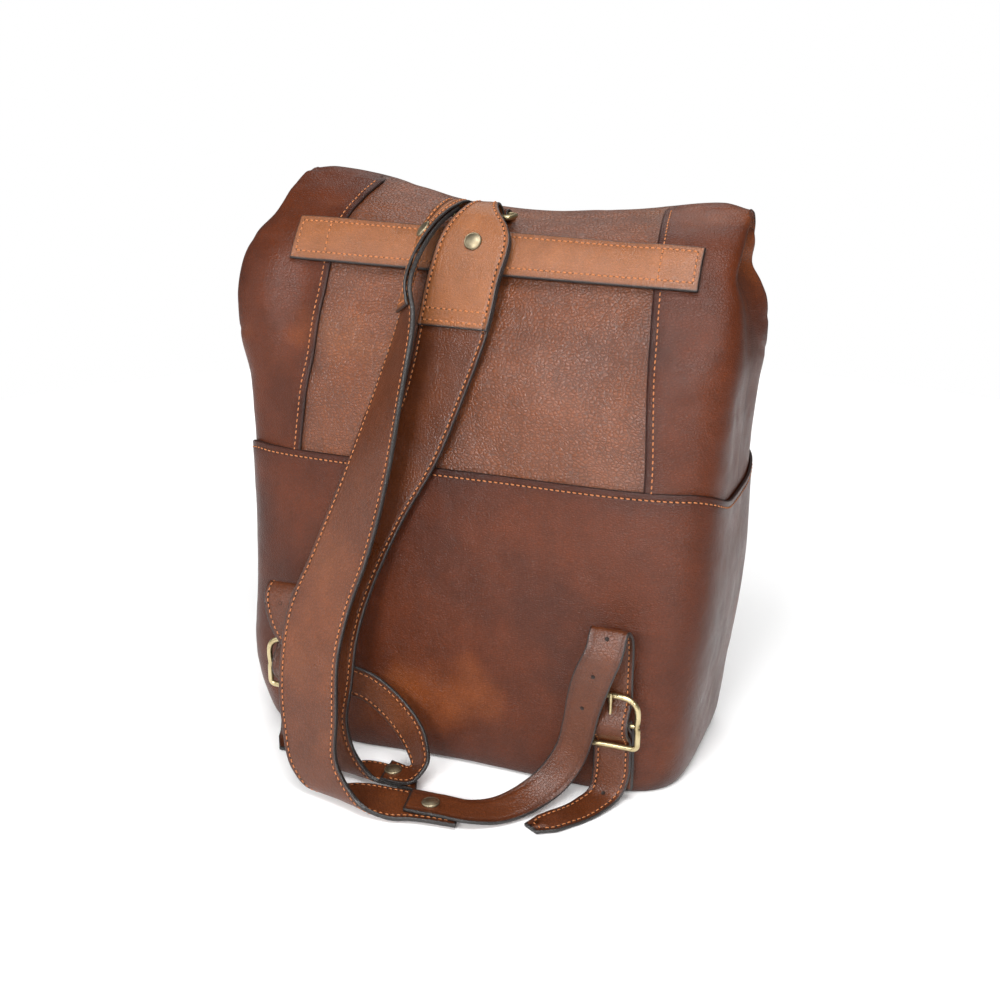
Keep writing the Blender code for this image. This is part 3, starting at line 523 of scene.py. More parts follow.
def leather(name, dark, middle, light, grain, depth, gloss, crease, shine):
    """Waxed leather: clouded colour, pebbled grain, soft wrinkles, dark painted edges."""
    n = Nodes(name)
    clouds = n.noise(9.0, 3.0, 0.5)
    colour = n.ramp(clouds, (0.27, dark), (0.46, middle), (0.57, middle), (0.72, light))
    blotches = n.ramp(n.noise(48.0, 4.0, 0.6), (0.30, grey(0.80)), (0.70, grey(1.10)))
    colour = n.mix(1.0, colour, blotches, "MULTIPLY")
    specks = n.ramp(n.noise(900.0, 3.0, 0.7), (0.35, grey(0.86)), (0.60, grey(1.03)))
    colour = n.mix(1.0, colour, specks, "MULTIPLY")
    pores = n.cells(grain, warp=0.45 / grain)
    pebble = n.ramp(pores, (0.0, grey(0.0)), (0.10, grey(0.5)), (0.34, grey(1.0)))
    fine = n.ramp(n.cells(grain * 2.3, warp=0.2 / grain), (0.0, grey(0.0)), (0.25, grey(1.0)))
    # painted shade: the colour darkens along the grain's crease lines, by crease * 0.50
    colour = n.mix(crease * 0.50, colour, n.mix(1.0, colour, pebble, "MULTIPLY"))
    shade = n.attribute("shade")
    colour = n.mix(shade, colour, n.mix(1.0, colour, SHADE_TINT, "MULTIPLY"))
    paint = n.attribute("paint")
    colour = n.mix(paint, colour, EDGE_PAINT)
    n.link(colour, n.shader.inputs["Base Color"])
    rough = n.ramp(n.noise(34.0, 4.0, 0.6), (0.3, grey(gloss - 0.06)), (0.7, grey(gloss + 0.09)))
    n.link(rough, n.shader.inputs["Roughness"])
    height = n.bump(n.noise(110.0, 3.0, 0.5), 0.0007, crease)
    height = n.bump(pebble, depth, 0.9, height)
    height = n.bump(fine, depth * 0.30, 0.8, height)
    n.link(height, n.shader.inputs["Normal"])
    n.shader.inputs["Specular IOR Level"].default_value = shine
    return n.material


def thread(name, colour):
    """Waxed sewing thread with a slight fuzz."""
    n = Nodes(name)
    fuzz = n.ramp(n.noise(1500.0, 3.0), (0.3, grey(0.62)), (0.7, grey(1.12)))
    n.link(n.mix(1.0, colour, fuzz, "MULTIPLY"), n.shader.inputs["Base Color"])
    n.shader.inputs["Roughness"].default_value = 0.62
    n.link(n.bump(n.noise(3200.0, 2.0), 0.0001, 0.6), n.shader.inputs["Normal"])
    return n.material


def brass(name, bright=(0.60, 0.50, 0.29), dull=(0.42, 0.33, 0.17), roughness=0.31):
    """Antique brass: polished patches and brown patina mixed by noise, fine scratches."""
    n = Nodes(name)
    patina = n.ramp(n.noise(75.0, 4.0, 0.6), (0.36, dull), (0.58, bright))
    n.link(patina, n.shader.inputs["Base Color"])
    rough = n.ramp(
        n.noise(420.0, 4.0), (0.3, grey(roughness - 0.05)), (0.7, grey(roughness + 0.10))
    )
    n.link(rough, n.shader.inputs["Roughness"])
    n.shader.inputs["Metallic"].default_value = 1.0
    n.link(n.bump(n.noise(1900.0, 3.0), 0.00002, 0.4), n.shader.inputs["Normal"])
    return n.material


def cloth(name, colour):
    """Woven lining cloth."""
    n = Nodes(name)
    wave = n.add("ShaderNodeTexWave", wave_type="BANDS")
    wave.inputs["Scale"].default_value = 330.0
    n.link(n.place, wave.inputs["Vector"])
    weave = n.ramp(wave.outputs["Fac"], (0.2, grey(0.75)), (0.8, grey(1.05)))
    n.link(n.mix(1.0, colour, weave, "MULTIPLY"), n.shader.inputs["Base Color"])
    n.shader.inputs["Roughness"].default_value = 0.9
    n.link(n.bump(wave.outputs["Fac"], 0.0002, 0.6), n.shader.inputs["Normal"])
    return n.material


BODY = leather(
    "body_leather_finish", (0.054, 0.0104, 0.0025), (0.103, 0.0205, 0.0042), (0.200, 0.048, 0.0096),
    grain=460.0, depth=0.00018, gloss=0.35, crease=0.60, shine=0.31,
)
BACK = leather(
    "back_leather_finish", (0.108, 0.027, 0.0070), (0.176, 0.046, 0.0112), (0.262, 0.080, 0.0200),
    grain=360.0, depth=0.00027, gloss=0.35, crease=0.95, shine=0.56,
)
STRAPS = leather(
    "strap_leather_finish", (0.067, 0.0158, 0.0046), (0.114, 0.0285, 0.0075), (0.184, 0.051, 0.014),
    grain=420.0, depth=0.00017, gloss=0.33, crease=0.65, shine=0.50,
)
TAN = leather(
    "light_leather_finish", (0.215, 0.068, 0.020), (0.285, 0.097, 0.030), (0.345, 0.126, 0.042),
    grain=520.0, depth=0.00016, gloss=0.33, crease=0.50, shine=0.60,
)
# painted shade: near-black leather that stands in for the shade inside punched holes and needle
# marks
HOLE_SHADE = leather(
    "painted_hole_shade_finish", (0.012, 0.008, 0.006), (0.022, 0.013, 0.010), (0.03, 0.018, 0.012),
    grain=500.0, depth=0.0001, gloss=0.6, crease=0.2, shine=0.3,
)
THREAD = thread("orange_thread_finish", (0.48, 0.165, 0.052))
BRASS = brass("antique_brass_finish")
RIVET_BRASS = brass(
    "aged_rivet_finish", (0.34, 0.29, 0.195), (0.25, 0.20, 0.125), roughness=0.46
)
LINING_CLOTH = cloth("lining_cloth_finish", (0.36, 0.27, 0.18))


# ---- Meshes ------------------------------------------------------------------------------


def piece(name, points, faces, material, attributes=None):
    """A new smooth object with its material and its named per-point values."""
    mesh = bpy.data.meshes.new(name)
    mesh.from_pydata(np.asarray(points).reshape(-1, 3).tolist(), [], faces)
    mesh.materials.append(material)
    for key in ("paint", "shade"):
        values = (attributes or {}).get(key)
        layer = mesh.attributes.new(key, "FLOAT", "POINT")
        if values is not None:
            layer.data.foreach_set("value", np.asarray(values, np.float32).ravel())
    mesh.shade_smooth()
    item = bpy.data.objects.new(name, mesh)
    bpy.context.scene.collection.objects.link(item)
    return item


def grid_normals(grid, closed):
    """Unit normals of a grid of points, on its outer side."""
    if closed:
        along = np.roll(grid, -1, axis=1) - np.roll(grid, 1, axis=1)
    else:
        along = np.gradient(grid, axis=1)
    return unit(np.cross(along, np.gradient(grid, axis=0)))


def ring_faces(rings, sides, base=0, closed=False):
    """Faces between rings of points, and over the first and last ring unless they close."""
    faces = []
    for r in range(rings if closed else rings - 1):
        low, high = base + r * sides, base + (r + 1) % rings * sides
        for k in range(sides):
            after = (k + 1) % sides
            faces.append((low + k, low + after, high + after, high + k))
    if not closed:
        last = base + (rings - 1) * sides
        faces.append(tuple(base + k for k in reversed(range(sides))))
        faces.append(tuple(last + k for k in range(sides)))
    return faces


def sheet(name, grid, thickness, material, closed=False, paint=None, shade=None):
    """A sheet of leather under a grid of points, with a rounded edge all round it."""
    rows, columns = grid.shape[:2]
    normals = grid_normals(grid, closed)
    thickness = np.broadcast_to(np.asarray(thickness, float), (rows, columns))[..., None]
    under = grid - normals * thickness
    count = rows * columns
    index = np.arange(count).reshape(rows, columns)
    faces = []
    for k in range(columns if closed else columns - 1):
        after = (k + 1) % columns
        for r in range(rows - 1):
            a, b = index[r, k], index[r, after]
            c, d = index[r + 1, after], index[r + 1, k]
            faces.append((a, b, c, d))
            faces.append((count + d, count + c, count + b, count + a))
    if closed:
        loops = [index[0], index[-1][::-1]]
    else:
        sides = [index[0], index[1:, -1], index[-1, :-1][::-1], index[1:-1, 0][::-1]]
        loops = [np.concatenate(sides)]
    flat, flat_under, flat_normals = (field.reshape(-1, 3) for field in (grid, under, normals))
    extra, start = [], 2 * count
    for ring in loops:
        p = (flat[ring] + flat_under[ring]) / 2
        size = np.linalg.norm(flat[ring] - flat_under[ring], axis=1, keepdims=True)
        tangent = unit(np.roll(flat[ring], -1, axis=0) - np.roll(flat[ring], 1, axis=0))
        outward = np.cross(tangent, flat_normals[ring])
        extra.append(p + outward * np.minimum(size * RIM_SHARE, RIM_REACH))
        total = len(ring)
        for k in range(total):
            after = (k + 1) % total
            a, b = ring[k], ring[after]
            middle_a, middle_b = start + k, start + after
            faces.append((b, a, middle_a, middle_b))
            faces.append((middle_b, middle_a, count + a, count + b))
        start += total
    rim = np.ones(start - 2 * count)
    values = {}
    for key, field in (("paint", paint), ("shade", shade)):
        field = np.zeros(count) if field is None else field.ravel()
        values[key] = np.concatenate([field, field, rim])
    return piece(name, np.concatenate([flat, flat_under, *extra]), faces, material, values)


def read_row(values, run, at):
    """The row at a distance along a line, from rows that lie at the distances in run."""
    return np.array([np.interp(at, run, values[:, k]) for k in range(3)])


def stitches(name, rows, radius=STITCH_RADIUS):
    """Separate stitches with their needle marks in painted shade, along rows of (points, normals).
    """
    points, faces, marks, mark_faces = [], [], [], []
    for line, normals in rows:
        run = np.concatenate([[0], np.cumsum(np.linalg.norm(np.diff(line, axis=0), axis=1))])
        total = max(int(run[-1] / STITCH_PITCH), 1)
        for k in range(total):
            at = (k + 0.5) * run[-1] / total
            centre = read_row(line, run, at)
            ahead = read_row(line, run, at + STITCH_LENGTH / 2)
            behind = read_row(line, run, at - STITCH_LENGTH / 2)
            up = unit(read_row(normals, run, at))
            along = unit(ahead - behind)
            along = unit(along + np.cross(along, up) * STITCH_SLANT)
            side = np.cross(along, up)
            for share in (-NEEDLE_AT, NEEDLE_AT):
                tip = len(marks)
                middle = centre + along * share * STITCH_LENGTH - up * NEEDLE_DEPTH
                marks.append(middle + up * NEEDLE_HEIGHT)
                for j in range(STITCH_SIDES):
                    turn = 2 * math.pi * j / STITCH_SIDES
                    reach = side * math.cos(turn) + along * math.sin(turn) * 0.8
                    marks.append(middle + reach * NEEDLE_RADIUS)
                    mark_faces.append((tip, tip + 1 + j, tip + 1 + (j + 1) % STITCH_SIDES))
                mark_faces.append(tuple(tip + 1 + j for j in reversed(range(STITCH_SIDES))))
            faces += ring_faces(len(STITCH_PROFILE), STITCH_SIDES, len(points))
            for share, width in STITCH_PROFILE:
                lift = radius * (0.9 * (1 - (2 * share) ** 2) - 0.55)
                middle = centre + along * share * STITCH_LENGTH + up * lift
                for j in range(STITCH_SIDES):
                    turn = 2 * math.pi * j / STITCH_SIDES
                    reach = side * math.cos(turn) * 1.25 + up * math.sin(turn) * 0.85
                    points.append(middle + reach * radius * width)
    start = len(points)
    mark_faces = [tuple(start + j for j in face) for face in mark_faces]
    item = piece(name, np.array(points + marks), faces + mark_faces, THREAD)
    # the needle marks take the near-black hole material: painted shade in the needle holes
    item.data.materials.append(HOLE_SHADE)
    for face in item.data.polygons[len(faces):]:
        face.material_index = 1
    return item


def tube(name, path, radius, closed=False, sides=20, flat=1.0, plane=None):
    """A round or flattened wire along a flat path, with domed ends unless it closes."""
    path = np.array(path, float)
    if closed:
        along = unit(np.roll(path, -1, axis=0) - np.roll(path, 1, axis=0))
    else:
        along = unit(np.gradient(path, axis=0))
    if plane is None:
        plane = unit(np.linalg.svd(path - path.mean(0))[2][2])
    side = unit(np.cross(plane, along))
    centres, widths = path, np.full(len(path), radius)
    if not closed:
        domes = [(math.cos(a), math.sin(a)) for a in np.linspace(0.15, math.pi / 2, 5)[:-1]]
        first = [path[0] - along[0] * radius * c for c, s in domes]
        last = [path[-1] + along[-1] * radius * c for c, s in reversed(domes)]
        narrow = [radius * s for c, s in domes]
        centres = np.vstack([first, path, last])
        widths = np.concatenate([narrow, widths, narrow[::-1]])
        side = np.vstack([[side[0]] * len(domes), side, [side[-1]] * len(domes)])
    turns = np.linspace(0, 2 * math.pi, sides, endpoint=False)
    rings = (
        centres[:, None]
        + side[:, None] * (widths[:, None, None] * np.cos(turns)[None, :, None])
        + plane * (widths[:, None, None] * flat * np.sin(turns)[None, :, None])
    )
    item = piece(name, rings, ring_faces(len(rings), sides, closed=closed), BRASS)
    return item


def lathe(name, place, profile, steps=40, material=BRASS):
    """A turned brass piece from (radius, height) pairs that start and end on its axis."""
    centre, across, out = (np.array(v, float) for v in place)
    other = np.cross(out, across)
    turns = np.linspace(0, 2 * math.pi, steps, endpoint=False)[:, None]
    circle = across * np.cos(turns) + other * np.sin(turns)
    rings = [centre + out * height + circle * max(radius, 0.00005) for radius, height in profile]
    item = piece(name, np.array(rings), ring_faces(len(rings), steps), material)
    item.data.set_sharp_from_angle(angle=math.radians(50))
    return item


# ---- The bag's skin ----------------------------------------------------------------------


def station(v):
    """Ten numbers of the ring at each height number v."""
    rows = np.array([[*back, *front, *rest] for back, front, *rest in STATIONS])
    rows = np.vstack([2 * rows[0] - rows[1], rows, 2 * rows[-1] - rows[-2]])
    v = np.asarray(v, float)
    i = np.clip(v.astype(int), 0, len(STATIONS) - 2)
    t = (v - i)[..., None]
    a, b, c, d = (rows[i + k] for k in range(4))
    value = b + 0.5 * t * (c - a + t * (2 * a - 5 * b + 4 * c - d + t * (3 * (b - c) + d - a)))
    return np.moveaxis(value, -1, 0)


def shell_point(turn, v, sink=1.0):
    """Points of the shell: turn is the direction seen from above, 90 degrees at the back."""
    back_y, back_z, front_y, front_z, half, shift, _, drop, tuck, rise = station(v)
    c, s = np.cos(turn), np.sin(turn)
    reach = (np.abs(c) ** CORNER_POWER + np.abs(s) ** CORNER_POWER) ** (-1 / CORNER_POWER)
    across, depth = c * reach, s * reach
    middle = np.cos(across * math.pi / 2) ** 2
    drop = drop + SETTLE * smooth((v - 6.8) / 1.2)
    lean = np.clip((v - LOWER_EDGE) / (THROAT - LOWER_EDGE), 0, 1)
    x = shift + across * (half - tuck * (1 - depth**2) ** 2)
    y = (back_y + front_y) / 2 + depth * (back_y - front_y) / 2
    z = (back_z + front_z) / 2 + depth * (back_z - front_z) / 2
    y = y - sink * drop * middle * (1 - lean) * np.maximum(depth, 0)
    z = z + rise * across - sink * drop * middle * lean
    return np.stack([x, y, z], axis=-1)


def relief(p):
    """How far the leather stands out of the smooth shell at a place."""
    x, y, z = p[..., 0], p[..., 1], p[..., 2]
    upper = smooth((z - 0.20) / 0.06)
    flank = smooth((np.abs(x) - 0.130) / 0.035)
    total = 0.0
    for height, added, size, offset in SWELLS:
        total = total + (height + added * upper) * noise(p, size, offset)
    for height, level, reach, side in FLANK_BULGES:
        total = total + height * np.exp(-(((z - level) / reach) ** 2)) * flank * (x * side > 0)
    for height, (across, level), (wide, high), only_back in ROUND_BULGES:
        away = ((x - across) / wide) ** 2 + ((z - level) / high) ** 2
        total = total + height * np.exp(-away) * ((y > 0) if only_back else 1.0)
    height, size, offset = WRINKLES
    total = total + height * (creases(p, size, offset) - 1) * upper
    height, size, offset = ROLLS
    below = 1 - smooth((z - 0.315) / 0.025)
    return total + height * noise(p, size, offset) * upper * below


def shell(turn, v, out, sink=1.0):
    """Points of the leather's surface, and the shell's normals there."""
    e = 0.002
    turn, v = np.broadcast_arrays(np.asarray(turn, float), np.asarray(v, float))
    low, high = np.maximum(v - e, 0), np.minimum(v + e, THROAT)
    round_ = shell_point(turn + e, v, sink) - shell_point(turn - e, v, sink)
    up = shell_point(turn, high, sink) - shell_point(turn, low, sink)
    normal = unit(np.cross(round_, up))
    base = shell_point(turn, v, sink)
    reach = (np.asarray(out) + relief(base) * sink)[..., None]
    return base + normal * reach, normal


def turn_at(x, v, side=1.0):
    """The direction at which the shell's back, or with side -1 its front, reaches x."""
    half, shift = station(v)[4:6]
    across = np.clip((x - shift) / half, -0.999, 0.999)
    depth = (1 - np.abs(across) ** CORNER_POWER) ** (1 / CORNER_POWER)
    return np.arctan2(side * depth, across)


def seam_turn(v, sign, inset=0.0):
    """The direction of the back seam at a height, moved towards the bag's side."""
    seam = station(v)[6]
    return turn_at(sign * (seam + inset), v)


def front_turn(v, sign):
    """The direction of the front seam at a height."""
    half, shift = station(v)[4:6]
    return turn_at(shift + sign * FRONT_SEAM * half, v, -1.0)


def spaced(turns, v):
    """The same directions, evenly spaced along the shell from the first to the last."""
    points = shell_point(turns, np.full_like(turns, v))
    run = np.concatenate([[0], np.cumsum(np.linalg.norm(np.diff(points, axis=0), axis=1))])
    return np.interp(np.linspace(0, run[-1], len(turns)), run, turns)


def edge_rows(low, high, count, inset):
    """Heights from low to high with extra rows close to both ends."""
    inner = np.linspace(low + 2 * inset, high - 2 * inset, count)
    return np.concatenate([[low, low + inset], inner, [high - inset, high]])


def mouth_rows(top, inside):
    """Rows of points that carry a skin's top row over the fold and down the front.

    inside marks the columns of the mouth itself. The rest of the row is the bag's rounded
    corner, and closes onto the mouth's end within the first centimetres of the fold.
    """
    edge = top[inside]
    control = [edge]
    shift, _, drop, _, rise = station(THROAT)[5:]
    share = (edge[:, 0] - shift) / MOUTH_HALF
    sink = (drop + SETTLE) * np.cos(np.clip(share, -1, 1) * math.pi / 2) ** 2
    outer = smooth((np.abs(share) - 0.84) / 0.12)
    for (y, z), weight, spread, dip in zip(MOUTH_SKIN, MOUTH_SINK, MOUTH_SPREAD, MOUTH_DIP):
        row = np.array(edge)
        row[:, 0] = shift + (edge[:, 0] - shift) * (1 + spread)
        row[:, 1] = y
        row[:, 2] = z + (rise * share - sink) * weight - dip * outer
        control.append(row)
    at = np.linspace(0, len(MOUTH_SKIN), MOUTH_ROWS)[1:]
    rows = hermite(np.array(control), at)
    normals = grid_normals(np.concatenate([edge[None], rows]), False)[1:]
    level = smooth(at)[:, None] * smooth((np.abs(rows[..., 0]) - 0.020) / 0.040)
    rows = rows + normals * (relief(rows) * level)[..., None]
    full = np.zeros((len(rows), len(top), 3))
    full[:, inside] = rows
    if not inside.all():
        last = np.flatnonzero(inside)[-1] if inside[0] else np.flatnonzero(inside)[0]
        close = np.maximum((1 - at / 3.2), 0.0) ** 2 * 0.98 + 0.02
        away = top[~inside] - top[last]
        full[:, ~inside] = full[:, last][:, None] + away[None] * close[:, None, None]
    return full


def near_edge(grid, rows, columns, reach):
    """How near each point is to the grid's edges, from each edge's own value down to 0."""
    value = np.zeros(grid.shape[:2])
    for axis, (first, last) in ((0, rows), (1, columns)):
        step = np.linalg.norm(np.diff(grid, axis=axis), axis=-1)
        run = np.concatenate([np.zeros_like(np.take(step, [0], axis)), np.cumsum(step, axis)], axis)
        left = np.take(run, [-1], axis) - run
        value = np.maximum(value, np.exp(-run / reach) * first)
        value = np.maximum(value, np.exp(-left / reach) * last)
    return value


def skin(name, turns_at, levels, out, thickness, material, edges, mouth=False):
    """A panel of the bag. turns_at gives each level's directions, edges the painted shade near its
    edges.
    """
    turns = np.array([turns_at(v) for v in levels])
    v = np.broadcast_to(levels[:, None], turns.shape)
    grid = shell(turns, v, out(turns, v))[0]
    thick = np.full(grid.shape[:2], thickness)
    if mouth:
        reach = np.abs(grid[-1][:, 0] - station(THROAT)[5])
        inside = (reach < MOUTH_REACH) & (grid[-1][:, 1] > MOUTH_BACK_Y)
        front = mouth_rows(grid[-1], inside)
        full = THIN_END + (MOUTH_THICKNESS - THIN_END) * smooth((MOUTH_REACH - reach) / 0.012)
        full[~inside] = THIN_END
        grow = smooth(np.linspace(0, 3, len(front)))[:, None]
        thick = np.concatenate([thick, thickness + (full - thickness) * grow])
        grid = np.concatenate([grid, front])
    grid[..., 2] = np.maximum(grid[..., 2], 0.0008)
    item = sheet(name, grid, thick, material, shade=near_edge(grid, *edges))
    return item


def flat(turns, v):
    """The height of a plain panel's face over the shell."""
    return np.full(turns.shape, PANEL)


def build_skins():
    """The bag's upper panels, which share seams, and the two below and inside."""
    high = np.concatenate([np.linspace(UPPER_START, 5.0, 30)[:-1], np.linspace(5.0, THROAT, 84)])

    def centre_turns(v):
        return turn_at(np.linspace(1, -1, CENTRE_COLUMNS) * (station(v)[6] + OVERLAP * 0.8), v)

    centre = skin(
        "back_centre_skin", centre_turns, high, flat, PANEL, BACK,
        ((0.8, 0.3), (1.0, 1.0), 0.007), mouth=True,
    )
    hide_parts("back_panel", "folded_mouth")
    pieces = [centre]
    rows = []
    for name, sign in (("left", 1), ("right", -1)):
        side = 0.0 if sign > 0 else math.pi

        def seam_lift(t, v):
            seam = seam_turn(v, sign)
            away = np.abs(shell_point(t, v)[..., 0] - shell_point(seam, v)[..., 0])
            return PANEL + SEAM_LIFT * (1 - smooth((away - 0.004) / 0.022)) * (np.sin(t) > 0)

        def back_turns(v):
            return spaced(np.linspace(seam_turn(v, sign), side, SIDE_COLUMNS), v)[::-sign]

        def front_turns(v):
            return spaced(np.linspace(-side, front_turn(v, sign), SIDE_COLUMNS), v)[::-sign]

        seam_side = (1.0, 0.0) if sign < 0 else (0.0, 1.0)
        back_half = skin(
            name + "_back_skin", back_turns, high, seam_lift, PANEL * 0.9, BODY,
            ((0.8, 0.3), seam_side, 0.006), mouth=True,
        )
        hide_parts(name + "_side_panel")
        pieces.append(back_half)
        front_half = skin(
            name + "_front_skin", front_turns, high, flat, PANEL, BODY,
            ((0.8, 0.8), (0.4, 0.4), 0.008),
        )
        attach(front_half, "bag")
        levels = np.linspace(LOWER_EDGE - 0.02, THROAT - 0.02, 160)
        rows.append(shell(seam_turn(levels, sign, SKIN_STITCH_INSET), levels, PANEL + SEAM_LIFT))
    for item in pieces:
        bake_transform(item)
    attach(stitches("seam_stitches", rows), "bag")

    def front_centre(v):
        half, shift = station(v)[4:6]
        x = shift + np.linspace(-1, 1, CENTRE_COLUMNS) * (FRONT_SEAM * half + 0.002)
        return turn_at(x, v, -1.0)

    front = skin(
        "front_skin", front_centre, high, lambda t, v: flat(t, v) * 0.6, PANEL, BODY,
        ((0.8, 0.8), (0.6, 0.6), 0.008),
    )
    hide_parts("front_panel")
    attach(front, "bag")
    build_lower_skin()
    build_lining()


def edge_dip(turns):
    """How far, in height numbers, the lower panel's top edge dips round the bag's sides."""
    return EDGE_DIP * smooth((np.abs(np.cos(turns)) - 0.72) / 0.26)


def build_lower_skin():
    """The pocket-like lower panel wraps the whole bag and rolls under at the base."""
    levels = np.concatenate(
        [np.linspace(0.02, 1.0, 26)[:-1], np.linspace(1.0, LOWER_EDGE - 0.10, 92),
         np.linspace(LOWER_EDGE - 0.092, LOWER_EDGE, 12)]
    )
    around = np.array(
        [spaced(np.linspace(0, 2 * math.pi, LOWER_COLUMNS + 1), v)[:-1] for v in levels]
    )
    v = levels[:, None] - edge_dip(around) * smooth((levels[:, None] - 2.6) / 1.4)
    full = PANEL + GAP + LOWER_PANEL
    grid = shell(around, v, full * smooth(v / 0.45))[0]
    top_gap = np.linalg.norm(grid[-1] - grid, axis=-1)
    normals = grid_normals(grid, True)
    groove = np.exp(-(((top_gap - SKIN_STITCH_INSET) / GROOVE_WIDTH) ** 2)) * GROOVE
    grid = grid - normals * groove[..., None]
    grid[..., 2] = np.maximum(grid[..., 2], 0.0006)
    shade = np.maximum(np.exp(-top_gap / 0.010) * 0.75, np.exp(-grid[..., 2] / 0.012) * 0.8)
    corner = smooth((np.abs(grid[..., 0]) - 0.125) / 0.05) * 0.35
    shade = np.maximum(shade, corner * (0.6 + 0.4 * noise(grid, 0.03)))
    item = sheet("lower_skin", grid, LOWER_PANEL, BODY, closed=True, shade=shade)
    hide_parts("lower_panel")
    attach(item, "bag")
    turns = spaced(np.linspace(0, 2 * math.pi, 900), LOWER_EDGE)
    level = LOWER_EDGE - SKIN_STITCH_INSET / (station(LOWER_EDGE) - station(LOWER_EDGE - 1.0))[1]
    line = shell(turns, level - edge_dip(turns), full)
    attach(stitches("lower_edge_stitches", [line]), "bag")


def build_lining():
    """A thin lining just inside the panels."""
    levels = np.linspace(0.4, 7.0, 46)
    around = np.array([spaced(np.linspace(0, 2 * math.pi, 161), v)[:-1] for v in levels])
    grid = shell(around, np.broadcast_to(levels[:, None], around.shape), -GAP)[0]
    item = sheet("lining_skin", grid, LINING, LINING_CLOTH, closed=True)
    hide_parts("lining")
    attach(item, "bag")


def build_strip():
    """The luggage strip: two layers sewn all round, held down in a box at each end."""
    xs = edge_rows(-STRIP_HALF_LENGTH, STRIP_HALF_LENGTH, 200, 0.0008)[::-1]
    vs = edge_rows(*STRIP_LEVELS, 20, 0.028)
    v, x = np.meshgrid(vs, xs, indexing="ij")
    # the strip lies on the seams' doubled leather near its ends, and spans the middle
    grid, away = shell(turn_at(x, v), v, PANEL + SEAM_LIFT + STRIP, sink=0.0)
    ends = smooth((np.abs(x) - 0.09) / 0.03)
    grid = grid + away * (0.6 * relief(grid) * ends)[..., None]
    top, bottom = grid[-1], grid[0]
    edge = np.minimum(
        np.minimum(np.linalg.norm(grid - top, axis=-1), np.linalg.norm(grid - bottom, axis=-1)),
        np.minimum(STRIP_HALF_LENGTH - x, STRIP_HALF_LENGTH + x),
    )
    paint = (edge < PAINT_WIDTH * 0.6).astype(float)
    groove = np.exp(-(((edge - STITCH_INSET) / GROOVE_WIDTH) ** 2)) * GROOVE
    normals = grid_normals(grid, False)
    grid = grid - normals * groove[..., None]
    shade = np.exp(-edge / 0.003) * 0.5
    item = sheet("luggage_strip_leather", grid, STRIP, TAN, paint=paint, shade=shade)
    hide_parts("luggage_strip")
    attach(item, "bag")

    def at(xx, share):
        """Places and normals on the strip's face, at x and a share of the way up."""
        column = np.interp(-xx, -xs, np.arange(len(xs)))
        row = np.interp(share, vs - STRIP_LEVELS[0], np.arange(len(vs)))
        c = np.clip(column.astype(int), 0, len(xs) - 2)
        r = np.clip(row.astype(int), 0, len(vs) - 2)
        fc, fr = (column - c)[:, None], (row - r)[:, None]
        value = []
        for field in (grid, normals):
            value.append(
                (field[r, c] * (1 - fc) + field[r, c + 1] * fc) * (1 - fr)
                + (field[r + 1, c] * (1 - fc) + field[r + 1, c + 1] * fc) * fr
            )
        return value[0], unit(value[1])

    long = STRIP_HALF_LENGTH - STITCH_INSET
    low, high = STRIP_ROWS
    lines = [
        at(np.linspace(-long, long, 200), np.full(200, low)),
        at(np.linspace(-long, long, 200), np.full(200, high)),
    ]
    for xx in (-long, long, -long + STRIP_BOX, long - STRIP_BOX):
        lines.append(at(np.full(30, xx), np.linspace(low, high, 30)))
    sewing = stitches("luggage_strip_stitches", lines, radius=HEAVY_STITCH_RADIUS)
    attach(sewing, "bag")


# ---- Straps ------------------------------------------------------------------------------


class Ribbon:
    """Frames along a flat strap: centre, half the way across, outward vector, distance."""

    def __init__(self, centre, side):
        self.centre, self.side = centre, side
        self.out = unit(np.cross(np.gradient(centre, axis=0), side))
        lengths = np.linalg.norm(np.diff(centre, axis=0), axis=1)
        self.run = np.concatenate([[0], np.cumsum(lengths)])

    def read(self, field, at):
        values = getattr(self, field)
        return np.column_stack([np.interp(at, self.run, values[:, k]) for k in range(3)])

    def cut(self, start, stop, height=0.0):
        inside = (self.run > start + 0.0002) & (self.run < stop - 0.0002)
        at = np.concatenate([[start], self.run[inside], [stop]])
        centre = self.read("centre", at) + unit(self.read("out", at)) * height
        return Ribbon(centre, self.read("side", at))

    def frame(self, at):
        centre, side, out = (self.read(field, [at])[0] for field in ("centre", "side", "out"))
        out = unit(out)
        return centre, unit(side - out * side.dot(out)), out

    def nearest(self, point):
        return self.run[np.argmin(np.linalg.norm(self.centre - point, axis=1))]

    def scaled(self, factor):
        return Ribbon(self.centre, self.side * factor[:, None])


def ribbon_through(pairs, count, steps=16):
    """A ribbon from pairs of points on its edges, with more frames where it bends."""
    pairs = np.array([[*left, *right] for left, right in pairs], float)
    left, right = pairs[:, :3], pairs[:, 3:]
    rows = np.hstack([(left + right) / 2, (right - left) / 2])
    path = hermite(rows, np.linspace(0, len(rows) - 1, (len(rows) - 1) * steps + 1))
    step = np.diff(path[:, :3], axis=0)
    turn = np.linalg.norm(np.diff(unit(step), axis=0), axis=1)
    cost = np.linalg.norm(step, axis=1)
    cost[1:] += turn * BEND_WEIGHT
    run = np.concatenate([[0], np.cumsum(cost)])
    at = np.linspace(0, run[-1], count)
    path = np.column_stack([np.interp(at, run, path[:, k]) for k in range(6)])
    return Ribbon(path[:, :3], path[:, 3:])


